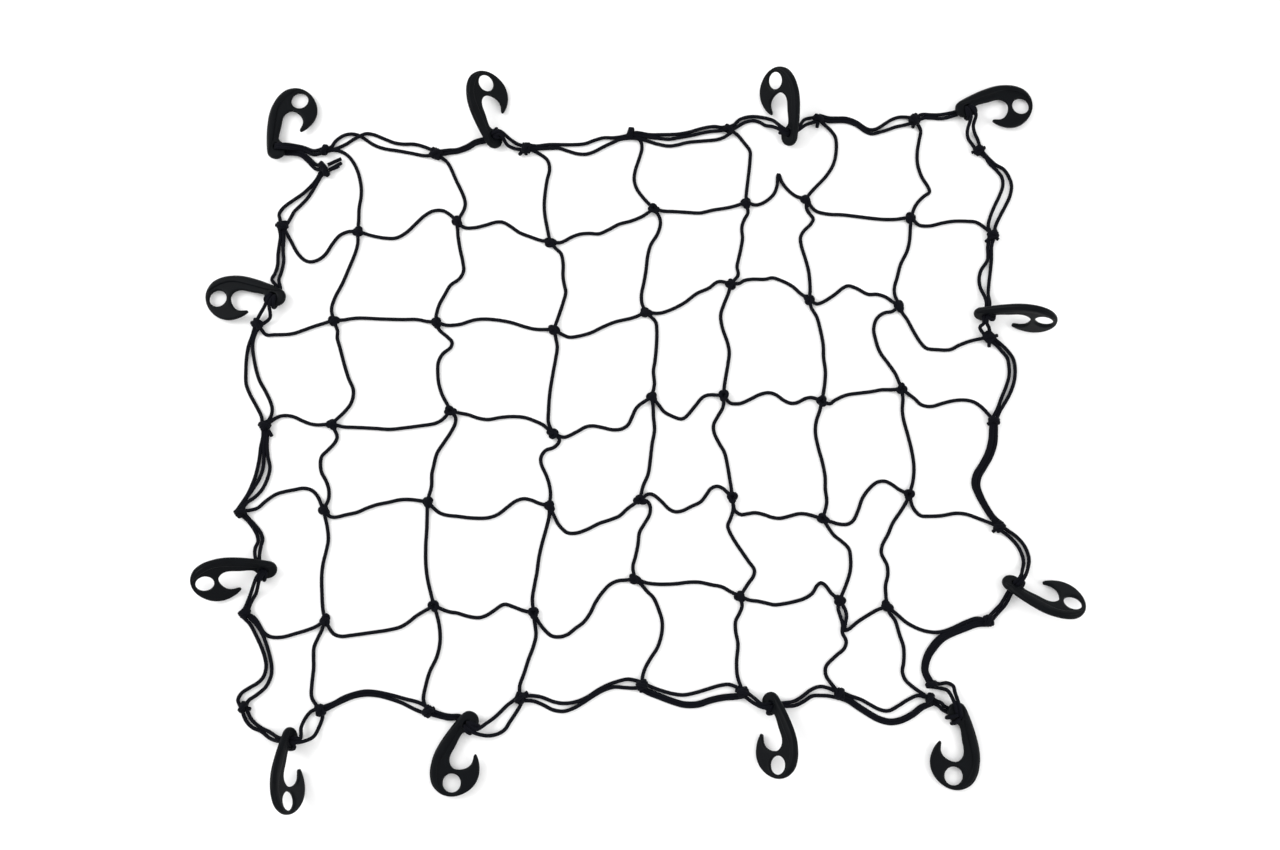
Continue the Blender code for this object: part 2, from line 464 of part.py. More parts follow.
def build_hook_mesh(material):
    """The moulded hook: plate, spine rib and eye boss, cut by the head hole and the eye."""
    bm = bmesh.new()
    add_prism(bm, WEB_OUTLINE, WEB_THICKNESS)
    web = finish_object("web", bm, material)

    bm = bmesh.new()
    add_prism(bm, RIB_OUTLINE, RIB_THICKNESS)
    rib = finish_object("rib", bm, material)

    bm = bmesh.new()
    add_prism(bm, oval(EYE_WIDE, EYE_LONG, ROUND_SIDES, 0.0, EYE_CENTRE_Y), EYE_THICKNESS)
    boss = finish_object("boss", bm, material)

    bm = bmesh.new()
    add_prism(bm, oval(HOLE_DIAMETER, HOLE_DIAMETER, ROUND_SIDES, HOLE_X, HOLE_Y), RIB_THICKNESS * 2)
    add_prism(bm, oval(EYE_HOLE, EYE_HOLE, ROUND_SIDES), EYE_THICKNESS * 2)
    cutter = finish_object("cutter", bm, material)

    hook = combine("hook", web, ((rib, "UNION"), (boss, "UNION"), (cutter, "DIFFERENCE")))
    mesh = hook.data
    shade_smooth(hook, 35.0)
    bpy.data.objects.remove(hook)
    return mesh


# ---------------------------------------------------------------- cords
def knot_place(name):
    if name in INNER_KNOTS:
        x, y, turn = INNER_KNOTS[name]
        return Vector((x, y, INNER_KNOT_Z))
    x, y, turn = BORDER_KNOTS[name]
    return Vector((x, y, BORDER_KNOT_Z))


def lifted(place, anchors):
    """Point of a cord: on the surface, lifted where it nears a knot or an eye. Anchors are points with a ramp length."""
    x, y = place[:2]
    height = place[2] if len(place) == 3 else REST
    for anchor, ramp in anchors:
        reach = math.hypot(anchor.x - x, anchor.y - y)
        height = max(height, REST + (anchor.z - REST) * max(0.0, 1.0 - reach / ramp) ** 2)
    return Vector((x, y, height))


def eye_passage(token, hooks):
    """Points of a cord through a hook's eye, in lane a or b, in the net's frame."""
    number = int(token[1:-1])
    lane = token[-1]
    side, roll, height, slide = HOOKS[number][3:]
    if number in CORNER_HOOKS:
        side *= CORNER_HOOKS[number]
        return [hooks[number] @ Vector((x, y, z * side)) for x, y, z in CORNER_PASSAGES[lane]]
    if number in TURNED_HOOKS:
        profile = TURNED_PASSAGE
    elif roll < LEAN_LIMIT:
        profile = BENT_PASSAGE
    else:
        slope = math.radians(max(roll, LEAST_SLOPE))
        profile = [(t * math.cos(slope), t * math.sin(slope)) for t in (STRAIGHT_REACH, 0.0, -STRAIGHT_REACH)]
    y = slide + (LANE if lane == "a" else -LANE)
    return [hooks[number] @ Vector((x, y, z * side)) for x, z in profile]


def beside(knot, travel, lane, ahead):
    """Where a border strand ends in its knot: in its lane, ahead of the knot's middle or short of it."""
    along = Vector((travel.x, travel.y, 0.0)).normalized()
    left = Vector((-along.y, along.x, 0.0))
    return knot + along * ahead + left * (lane * KNOT_LANE)


def border_curve(run, hooks):
    """Curve of one border strand from its table row."""
    start, start_lane, end, end_lane, between = run
    first, last = knot_place(start), knot_place(end)
    passages = {item: eye_passage(item, hooks) for item in between if isinstance(item, str)}
    anchors = [(first, KNOT_RAMP), (last, KNOT_RAMP)]
    for passage in passages.values():
        anchors += [(passage[0], EYE_RAMP), (passage[-1], EYE_RAMP)]
    points = [first]
    for item in between:
        if item in passages:
            passage = passages[item]
            if (passage[0] - points[-1]).length > (passage[-1] - points[-1]).length:
                passage = passage[::-1]
            points += passage
        else:
            points.append(lifted(item, anchors))
    points[0] = beside(first, points[1] - first, start_lane, KNOT_BITE)
    points.append(beside(last, last - points[-1], end_lane, -KNOT_BITE))
    return curve_through(points)


def build_mesh(material, knots_cutter):
    bm = bmesh.new()
    for cord in UPRIGHT_CORDS + LEVEL_CORDS:
        span = [cord[0]]
        for item in cord[1:]:
            span.append(item)
            if isinstance(item, str):
                first, last = knot_place(span[0]), knot_place(span[-1])
                anchors = ((first, KNOT_RAMP), (last, KNOT_RAMP))
                points = [lifted(place, anchors) for place in span[1:-1]]
                points.insert(0, beside(first, points[0] - first, 0, KNOT_BITE))
                points.append(beside(last, last - points[-1], 0, -KNOT_BITE))
                add_strand(bm, ring_points(curve_through(points, SHARP_BENDS), RING_TOLERANCE))
                span = [item]
    strands = finish_object("strands", bm, material)
    bm = bmesh.new()
    for x, y, turn in INNER_KNOTS.values():
        add_knot(bm, x, y, turn, INNER_KNOT, INNER_KNOT_Z)
    knots = finish_object("knots", bm, material)
    return combine("mesh", strands, ((knots, "UNION"), (knots_cutter, "DIFFERENCE")))


def build_border(material, hooks):
    bm = bmesh.new()
    for run in BORDER_RUNS:
        through_eye = any(isinstance(item, str) for item in run[4])
        add_strand(bm, ring_points(border_curve(run, hooks), EYE_TOLERANCE if through_eye else RING_TOLERANCE))
    for name, x, y in FREE_ENDS:
        centre = knot_place(name)
        end = Vector((x, y, FREE_END_Z))
        add_strand(bm, [centre.lerp(end, 0.25), end])
    strands = finish_object("border_strands", bm, material)
    bm = bmesh.new()
    for x, y, turn in BORDER_KNOTS.values():
        add_knot(bm, x, y, turn, BORDER_KNOT, BORDER_KNOT_Z)
    knots = finish_object("border_knots", bm, material)
    return combine("border", strands, ((knots, "UNION"),))


def build_seats(material):
    """Border knots grown by the gap, which shape the ends of the inner cords."""
    bm = bmesh.new()
    for x, y, turn in BORDER_KNOTS.values():
        stations = [(place + math.copysign(SEAT_GAP, place), radius + SEAT_GAP) for place, radius in BORDER_KNOT]
        add_knot(bm, x, y, turn, stations, BORDER_KNOT_Z)
    return finish_object("seats", bm, material)


def main():
    for obj in list(bpy.data.objects):
        bpy.data.objects.remove(obj)
    cord = plastic("cord_sheath", (0.012, 0.012, 0.016), 0.75)
    border_cord = plastic("border_sheath", (0.012, 0.012, 0.016), 0.75)
    moulding = plastic("hook_plastic", (0.02, 0.02, 0.024), 0.38)

    net = bpy.data.objects.new("net", None)
    net.location = (-MIDDLE_X * MM, -MIDDLE_Y * MM, 0.0)
    bpy.context.collection.objects.link(net)

    hook_mesh = build_hook_mesh(moulding)
    corners = [vertex.co / MM for vertex in hook_mesh.vertices]
    hooks = {}
    for number in HOOKS:
        hooks[number] = resting_matrix(number, corners)
        hook = bpy.data.objects.new("hook_%d" % number, hook_mesh)
        hook.location = hooks[number].translation * MM
        hook.rotation_euler = hooks[number].to_euler()
        hook.parent = net
        bpy.context.collection.objects.link(hook)

    mesh = build_mesh(cord, build_seats(cord))
    border = build_border(border_cord, hooks)
    for obj in (mesh, border):
        obj.parent = net
        shade_smooth(obj, 60.0)


main()
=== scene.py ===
"""Looks of an elastic cargo net with moulded hooks, laid flat: braided cords, tied knots, hooks, floor, light, camera.

Lengths in the tables are millimetres: x along the long side, y along the short side, z up from the surface. The tables
share the coordinates of the net's own source, and place() moves the middle of the net to the origin, in metres.
"""
import math

import bpy
import numpy as np
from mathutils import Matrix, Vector
from mathutils.geometry import delaunay_2d_cdt


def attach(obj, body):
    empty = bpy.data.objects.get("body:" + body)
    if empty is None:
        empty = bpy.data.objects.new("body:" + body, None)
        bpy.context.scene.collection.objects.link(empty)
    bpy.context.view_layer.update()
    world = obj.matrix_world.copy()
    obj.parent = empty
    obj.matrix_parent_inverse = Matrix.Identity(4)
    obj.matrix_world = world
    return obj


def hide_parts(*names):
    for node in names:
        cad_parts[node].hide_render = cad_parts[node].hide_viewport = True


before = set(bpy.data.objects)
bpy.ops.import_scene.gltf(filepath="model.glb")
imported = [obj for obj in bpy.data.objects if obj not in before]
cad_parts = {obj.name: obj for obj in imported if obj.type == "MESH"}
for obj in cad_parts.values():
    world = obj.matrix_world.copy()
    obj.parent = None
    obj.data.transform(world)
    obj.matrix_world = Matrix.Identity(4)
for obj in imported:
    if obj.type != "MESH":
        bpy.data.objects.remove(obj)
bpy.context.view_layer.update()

bl_info = {
    "name": "Cargo net",
    "version": (1, 0, 0),
    "blender": (4, 5, 0),
    "location": "3D View > Sidebar > Cargo net",
    "description": "Elastic cargo net with moulded hooks, laid flat on a pale floor",
    "category": "Add Mesh",
}

MM = 0.001
# middle of the net in the tables' coordinates
MIDDLE = np.array((-4.8, -1.8, 0.0))

# ---------------------------------------------------------------- where the camera stands, in the tables' coordinates
CAMERA_PLACE = (0.0, -299.7, 1469.7)
CAMERA_TILT = math.asin(0.2)
CAMERA_LENS = 42.19
CAMERA_SENSOR = 36.0

# ---------------------------------------------------------------- cord sizes
CORD_DIAMETER = 3.7
RADIUS = CORD_DIAMETER / 2.0
# sides of a ring of a strand's or a turn's skin, and of a knot's or a cut end's
CORD_SIDES = 14
KNOT_SIDES = 12
# spacing of the rings along a strand, round a turn or a wrapped knot, and along a cut end
RING_SPACING = 1.8
TURN_SPACING = 1.4
END_SPACING = 0.35
# points that a smooth curve reads in each span, and the spacing at which a closed one is read
CURVE_STEPS = 17
FINE_SPACING = 0.1
# cut end: rounding of its rim, share of the way from the knot's middle at which it starts, height of its tip
CUT_ROUND = 0.7
CUT_START = 0.25
CUT_END_Z = 3.4
# half the distance between the two strands in an eye
LANE = 1.75
# in a knot: a lane's width, how far from the middle a strand stops on its own side, and the middle's height
KNOT_LANE = 1.9
KNOT_STOP = 1.5
KNOT_Z = 4.3
# how far from a knot or an eye the cord comes down to the surface
KNOT_RAMP = 15.0
EYE_RAMP = 26.0

# ---------------------------------------------------------------- knot sizes
# overhand knot: rings of its skin, ring and tube of its line, its middle above a resting cord's, and how far at most
# its lobes shift round (radians) and its line tips (degrees) from one knot to the next
KNOT_RINGS = 64
KNOT_RING = 2.5
KNOT_TUBE = 1.8
KNOT_LIFT = 1.95
LOBE_SHIFT = 1.7
KNOT_TIP = 14.0
# wrapped knot: points to a turn, step of the coil, its half width at the ends and what its middle adds, its half
# height, how far the coil's ends draw in, and its middle above a resting cord's
COIL_POINTS = 16
COIL_STEP = 3.1
COIL_WIDE = 3.8
COIL_SWELL = 0.7
COIL_HIGH = 3.1
COIL_DRAW = 1.2
COIL_LIFT = 3.2
# the pass over the coil: share of the coil's half length, y and z
COIL_PASS = ((0.8, 3.6, 2.4), (0.35, 2.1, 5.0), (-0.35, -1.8, 5.1), (-0.85, -3.5, 2.6))
# a knot's line stays at least this much above a resting cord's
CLEARANCE = 0.1

# ---------------------------------------------------------------- the net as it lies
# inner knot: x, y, turn in degrees, stretch along the turn
INNER_KNOTS = {
    "a1": (-289.0, 202.0, 10, 1.08), "a2": (-188.0, 213.0, 120, 1.19), "a3": (-92.0, 190.5, 170, 1.34),
    "a4": (14.0, 226.0, 160, 1.19), "a5": (109.0, 233.0, 95, 1.12), "a6": (171.0, 236.0, 125, 1.34),
    "a7": (278.0, 217.0, 65, 1.08),
    "b1": (-310.0, 107.5, 170, 1.12), "b2": (-206.5, 105.5, 110, 1.19), "b3": (-87.0, 98.0, 150, 1.19),
    "b4": (6.0, 116.0, 165, 1.30), "b5": (92.5, 146.0, 110, 1.08), "b6": (171.5, 129.5, 140, 1.12),
    "b7": (263.0, 123.0, 105, 1.30),
    "c1": (-307.5, 0.5, 130, 1.08), "c2": (-189.5, 13.5, 170, 1.26), "c3": (-87.0, -9.0, 165, 1.12),
    "c4": (12.0, 28.5, 125, 1.08), "c5": (84.0, 29.5, 85, 1.19), "c6": (182.0, 24.0, 115, 1.12),
    "c7": (262.0, 36.5, 60, 1.12),
    "d1": (-312.0, -86.0, 135, 1.19), "d2": (-210.0, -78.0, 95, 1.08), "d3": (-89.5, -82.0, 125, 1.19),
    "d4": (0.0, -76.0, 170, 1.34), "d5": (91.0, -73.5, 85, 1.08), "d6": (180.0, -95.0, 155, 1.26),
    "d7": (266.0, -71.0, 75, 1.08),
    "e1": (-306.0, -194.0, 80, 1.19), "e2": (-200.5, -180.0, 120, 1.08), "e3": (-103.5, -187.0, 100, 1.12),
    "e4": (-5.0, -154.0, 150, 1.30), "e5": (97.5, -171.0, 125, 1.08), "e6": (194.5, -174.5, 160, 1.19),
    "e7": (240.5, -180.5, 140, 1.30),
}
# border knot: x, y, turn in degrees, turns of cord wrapped round it
BORDER_KNOTS = {
    "t1": (-326.5, 290.0, 162, 2), "t2": (-211.5, 286.0, 155, 4), "t3": (-118.0, 292.0, 175, 3),
    "t4": (-10.0, 309.0, 165, 2), "t5": (92.5, 313.0, 64, 2), "t6": (185.5, 324.5, 70, 2),
    "t7": (285.5, 323.0, 60, 3), "tr": (350.5, 290.0, 130, 3), "r1": (361.0, 198.0, 105, 3),
    "r2": (352.0, 90.0, 130, 4), "r3": (353.0, 4.0, 80, 2), "r4": (353.0, -102.5, 130, 3),
    "r5": (338.5, -194.5, 10, 3), "br": (280.5, -255.5, 100, 2), "f7": (278.5, -269.0, 160, 2),
    "f6": (192.0, -264.5, 0, 3), "f5": (99.0, -263.0, 110, 3), "f4": (2.0, -256.0, 110, 3),
    "f3": (-115.5, -268.5, 165, 3), "f2": (-203.5, -281.0, 145, 3), "f1": (-307.0, -280.0, 20, 3),
    "bl": (-381.0, -277.0, 160, 2), "l5": (-384.0, -187.0, 135, 3), "l4": (-393.5, -88.0, 130, 3),
    "l3": (-373.5, -1.0, 110, 3), "l2": (-386.5, 103.5, 60, 3), "l1": (-366.0, 207.5, 102, 3),
    "tl": (-327.5, 271.5, 40, 2), "tied": (-325.0, 266.0, 35, 2),
}

# inner cords: knot, points seen along the cord, knot, points, ... knot; a third number is the height of a point where
# the cord lies over another
UPRIGHT_CORDS = (
    ("t1", (-312, 290), (-302, 284), (-293, 270), (-288, 252), (-287.5, 240), (-289, 228), (-289, 214),
     "a1", (-289, 190), (-291, 180), (-297, 163), (-303, 147), (-310, 132), (-313, 120),
     "b1", (-306, 97), (-306, 90), (-303, 80), (-298, 63), (-293, 48), (-288, 37), (-287.5, 30), (-290, 21), (-296, 13),
     "c1", (-302, -12), (-304, -18), (-310, -25), (-316.5, -32), (-317.5, -39), (-316, -48), (-311, -57), (-308, -66),
     (-308, -75),
     "d1", (-308, -103), (-306.5, -115), (-308, -126), (-310.5, -138), (-311.5, -150), (-310.5, -168), (-309, -183),
     "e1", (-309, -203), (-313, -212), (-316, -220), (-316, -230), (-315.5, -240), (-316.5, -255), (-316, -268),
     "f1"),
    ("t2", (-200, 278), (-190, 258), (-181, 238), (-180, 230), (-184, 220),
     "a2", (-187, 203), (-186.5, 197), (-184, 183), (-181, 170), (-180, 160), (-184, 152), (-193, 145), (-198, 136),
     (-204, 124), (-206.5, 114),
     "b2", (-203, 98), (-195, 91), (-190, 85.5), (-191, 80), (-199, 73), (-203, 65), (-203.5, 55), (-202, 42),
     (-198, 30), (-193, 21),
     "c2", (-184.5, 8), (-184.5, 2), (-189, -8), (-196, -19), (-202, -29), (-205, -42), (-206.5, -50), (-206.5, -62),
     "d2", (-210, -90), (-210, -105), (-210.5, -120), (-210, -138), (-208, -153), (-205, -165),
     "e2", (-198, -188), (-195, -200), (-194, -215), (-197, -230), (-203, -243), (-206.5, -256), (-208.5, -270),
     "f2"),
    ("t3", (-110, 290), (-103, 286), (-96, 280), (-93.5, 270), (-96, 258), (-98.5, 235), (-98, 222), (-95, 205),
     "a3", (-86, 184), (-81, 179), (-78.5, 168), (-78.5, 155), (-77, 145), (-75.5, 138), (-78, 127), (-82, 114),
     "b3", (-85, 89), (-83.5, 80), (-85, 68), (-88, 50), (-90.5, 32), (-91.5, 15), (-91.5, 3),
     "c3", (-80.5, -14), (-81, -18), (-86, -23), (-94, -26), (-98.5, -33), (-98, -40), (-93, -51), (-90, -60),
     (-88.5, -70),
     "d3", (-89.5, -91), (-92, -103), (-96, -118), (-99, -132), (-101, -148), (-103.5, -162), (-105, -173),
     "e3", (-102.5, -196), (-101, -208), (-103, -218), (-108, -232), (-112, -245), (-116, -257),
     "f3"),
    ("t4", (-2, 304), (1, 300), (2, 293), (-1, 281), (-5, 268), (-6, 258), (-3, 248), (4, 238),
     "a4", (19.5, 219), (21, 211), (18, 200), (11, 188), (8, 177), (6, 160), (4, 148), (1.5, 135), (2, 126),
     "b4", (12, 111), (16, 106), (17, 97), (16.5, 80), (15, 65), (13.5, 55), (14.5, 42),
     "c4", (13, 20), (13.5, 8), (14.5, -5), (12, -20), (10.5, -33), (8, -50), (3, -62),
     "d4", (7, -77), (10, -82), (9.5, -90), (4, -100), (-0.5, -108), (-2, -120), (-4.5, -132), (-7, -142),
     "e4", (2, -160), (7, -166), (13, -172), (18, -183), (21.5, -195), (21, -207), (17, -220), (10, -231), (5, -240),
     (2.5, -248),
     "f4"),
    ("t5", (101, 308), (108, 299), (114, 290), (114, 280), (112, 262), (109.5, 242),
     "a5", (111, 223), (107, 215), (104.5, 207), (105, 195), (103, 183), (100.5, 172), (99, 165), (100, 156),
     "b5", (90, 137), (86, 127), (82, 115), (82, 108), (84, 98), (88, 86), (90, 75), (88.5, 62), (86, 48), (84.5, 38),
     "c5", (83, 18), (78, 9), (73.5, 0), (74, -8), (79, -19), (84, -28), (87, -42), (89, -55), (90.5, -65),
     "d5", (92, -85), (89, -95), (86.5, -101), (88, -107), (94, -118), (100, -127), (106, -136), (112, -145),
     (111, -151), (106, -158),
     "e5", (99.5, -180), (97, -187), (93, -195), (93, -205), (95, -217), (93.5, -233), (94, -247),
     "f5"),
    ("t6", (191, 320), (198, 313), (203, 305), (203.5, 290), (200, 275), (192, 262), (180, 249), (174, 242),
     "a6", (171.5, 227), (174, 222), (178, 216), (175, 210), (168, 203), (164.5, 196), (165, 188), (169, 173),
     (172, 160), (173, 147), (173, 138),
     "b6", (174, 121), (179, 112), (182.5, 98), (185, 82), (185, 70), (186.5, 55), (185.5, 42), (184, 33),
     "c6", (180, 15), (176, 3), (175, -8), (177.5, -23), (181, -37), (183.5, -52), (183.5, -65), (184.5, -78),
     "d6", (186, -104), (191, -111), (199, -117.5), (205, -124), (206.5, -133), (206, -145), (202, -158),
     "e6", (193, -182), (195, -190), (197, -198), (196.5, -206, 4.6), (200, -214), (198, -221), (190, -228),
     (180, -238), (179, -243), (180, -248), (184, -254),
     "f6"),
    ("t7", (290, 318), (292, 312), (290, 302), (287.5, 288), (287.5, 275), (291, 262), (297.5, 250), (298.5, 245),
     (292, 240), (284, 231),
     "a7", (277.5, 207), (276, 192), (273, 181), (266, 167), (262, 153), (259, 143), (259, 135),
     "b7", (256, 117.5), (248, 116), (240, 110), (236.5, 99), (238, 88), (242, 75), (250, 63), (257, 52),
     "c7", (263.5, 27), (262.5, 15), (263.5, 5), (267, -10), (270.5, -27), (272, -42), (270.5, -57),
     "d7", (263, -78), (258, -86), (249, -99), (244, -110), (238, -121), (237, -129), (242, -140), (242.5, -150),
     (240, -160), (240, -170),
     "e7", (243, -187), (248, -194), (252, -208), (255.5, -220), (255, -235), (253.5, -243), (256, -251),
     (262, -257),
     "f7"),
)
LEVEL_CORDS = (
    ("l1", (-358, 193), (-350, 179), (-343, 172), (-337, 170), (-330, 171.5), (-322, 177.5), (-315, 189), (-308, 198),
     (-300, 202),
     "a1", (-280, 199.5), (-275, 198), (-262, 195.5), (-250, 195.5), (-240, 201), (-230, 211), (-222, 219),
     (-213, 224.5), (-203, 225), (-196, 221),
     "a2", (-181, 207), (-170, 206.5), (-158, 209.5), (-148, 212.5), (-141, 212.5), (-133, 208), (-124, 201.5),
     (-113, 197), (-102, 193),
     "a3", (-82, 190.5), (-76, 193), (-71, 196), (-62, 199.5), (-52, 200.5), (-42, 200), (-33, 204), (-21, 210.5),
     (-10, 213.5), (2, 218.5),
     "a4", (24, 224.5), (35, 224), (50, 223), (62, 222.5), (75, 225.5), (90, 228), (98, 230),
     "a5", (119, 231), (125, 232.5), (131, 236), (138, 243), (141.5, 252), (142.3, 262), (143.3, 265), (144.5, 262),
     (146.5, 256), (152, 248), (160, 241),
     "a6", (179, 226), (183, 223.5), (195, 221), (207, 220.5), (220, 219), (235, 217), (250, 215.5), (262, 215.5),
     "a7", (286, 209.5), (290, 208.5), (298, 208.5), (310, 211.5), (322, 213.5), (335, 213.5), (345, 212.5),
     (352, 208),
     "r1"),
    ("l2", (-378, 93), (-370, 93), (-352, 94), (-340, 98), (-328, 102.5), (-320, 105),
     "b1", (-300, 108.5), (-295, 109.5), (-285, 110.5), (-260, 109.5), (-240, 109), (-226, 109), (-216, 107),
     "b2", (-196, 103), (-190, 103), (-182, 104), (-168, 108.5), (-158, 109.5), (-145, 108.5), (-131, 106),
     (-117, 101.5), (-107, 99), (-98, 98.5),
     "b3", (-78, 93), (-72, 90.5), (-65, 91), (-50, 95), (-38, 101), (-25, 106.5), (-10, 110), (-4, 112),
     "b4", (16, 115.5), (22, 116), (33, 120), (45, 126.5), (58, 136.5), (70, 142), (80, 149),
     "b5", (101, 147), (106, 150), (114, 151.5), (128, 151.5), (135, 153), (145, 149.5), (155, 144), (163, 136.5),
     "b6", (179, 125.5), (184, 126.5), (197, 134.5), (207, 142.5), (212, 144.5), (220, 142), (232, 135.5),
     (241, 135.5), (250, 132.5), (256, 128),
     "b7", (266, 116), (270, 110), (278, 94), (284, 84), (289, 79), (300, 77.5), (313, 77.5), (322, 82), (334, 86.5),
     "r2"),
    ("l3", (-362, 8), (-355, 9.5), (-347, 8.5), (-337, 4), (-329, 1), (-322, 0),
     "c1", (-296, -2), (-285, -2.5), (-265, -3.5), (-250, -4.5), (-235, -3), (-220, -1), (-205, 1.5), (-198, 5),
     "c2", (-180, 12), (-172, 10.5), (-162, 7), (-152, 5.5), (-140, 7.5), (-128, 8.5), (-115, 7.5), (-104, 3.5),
     (-97, 0),
     "c3", (-77, -12.5), (-73, -12), (-63, -7), (-54, -2), (-47, -1), (-38, -2.5), (-27, -5), (-18, -4), (-12, 0),
     (-8, 8), (-3, 18),
     "c4", (19, 20), (24, 13.5), (32, 9), (41, 6), (45, 7.5), (55, 19), (62, 27.5), (68, 30.5),
     "c5", (90, 22.5), (96, 21.5), (101, 22), (112, 27), (120, 31), (129, 33), (136, 31), (145, 24.5), (152, 22),
     (158, 23), (166, 27), (172, 28),
     "c6", (190, 21.5), (195, 25), (207, 30.5), (220, 32.5), (232, 34), (243, 36), (252, 36),
     "c7", (270, 31), (275, 27), (281, 21), (287, 19), (293, 19), (303, 22), (313, 24.5), (323, 25.5), (333, 24),
     (341, 19),
     "r3"),
    ("l4", (-378, -84), (-370, -77), (-360, -70), (-352, -67.5), (-342, -65.5), (-333, -64), (-325, -66), (-319, -72),
     "d1", (-306, -92), (-301, -93), (-290, -90.5), (-279, -88), (-270, -84), (-260, -80.5), (-248, -78),
     (-237, -75.5), (-225, -75.5),
     "d2", (-198, -88.5), (-190, -91), (-180, -92), (-168, -93.5), (-150, -93.5), (-140, -90), (-131, -83),
     (-123, -77), (-115, -74.5), (-107, -76), (-100, -79),
     "d3", (-84, -93), (-81, -99), (-76, -105), (-71, -108.5), (-62, -108.5), (-52, -105), (-40, -99), (-28, -95),
     (-20, -91.5), (-13, -85),
     "d4", (8, -70), (12, -70), (16, -72.5), (22, -78), (29, -85), (35, -87.5), (42, -86.5), (50, -82.5), (60, -77.5),
     (66, -70), (70, -64.5), (76, -62), (81, -63.5),
     "d5", (93.5, -86), (96, -88.5), (100, -90.5), (106, -89.5), (114, -88.5), (123, -90.5), (130, -93), (138, -94),
     (147, -92), (157, -89.5), (165, -90),
     "d6", (190, -98), (195, -99.5), (204, -100), (210, -96.5), (215, -87), (220, -74), (227, -64.5), (235, -58),
     (243, -57), (250, -60.5), (256, -65),
     "d7", (269, -82), (272, -87), (277, -91.5), (284, -92), (297, -91.5), (312, -89), (322, -90), (332, -93.5),
     "r4"),
    ("l5", (-376, -191), (-371, -197), (-366, -205), (-361, -209), (-355, -210.5), (-346, -210), (-335, -207),
     (-322, -203), (-314, -199.5),
     "e1", (-301, -203), (-297, -207.5), (-290, -209.5), (-280, -208.5), (-262, -206), (-245, -203.5),
     (-233, -200.5), (-226, -196.5), (-218, -190), (-210, -185),
     "e2", (-190, -184.5), (-185, -186), (-178, -187), (-168, -190), (-157, -191.5), (-150, -189.5), (-142, -184.5),
     (-135, -179.5), (-131, -178.5), (-122, -181.5), (-114, -184.5),
     "e3", (-97, -198), (-92, -204), (-86, -209), (-78, -210), (-70, -207.5), (-63, -202), (-55, -196), (-49, -188),
     (-43, -176), (-36, -166), (-29, -159), (-21, -155.5), (-15, -155),
     "e4", (6, -157.5), (12, -158.5), (22, -159), (35, -158.5), (48, -157), (58, -157), (70, -159.5), (80, -161.5),
     (88, -166),
     "e5", (107, -174.5), (115, -175.5), (124, -177.5), (131, -179), (140, -178), (150, -176), (160, -173),
     (168, -168), (173, -160.5), (177, -157.5), (181, -160), (187, -168),
     "e6", (200, -184), (201, -190), (199.5, -198), (199, -204), (203, -202.5), (211, -196), (222, -189), (231, -184),
     "e7", (251, -189), (259, -196), (270, -202), (280, -205), (290, -205.5), (300, -203), (318, -195), (328, -192),
     "r5"),
)

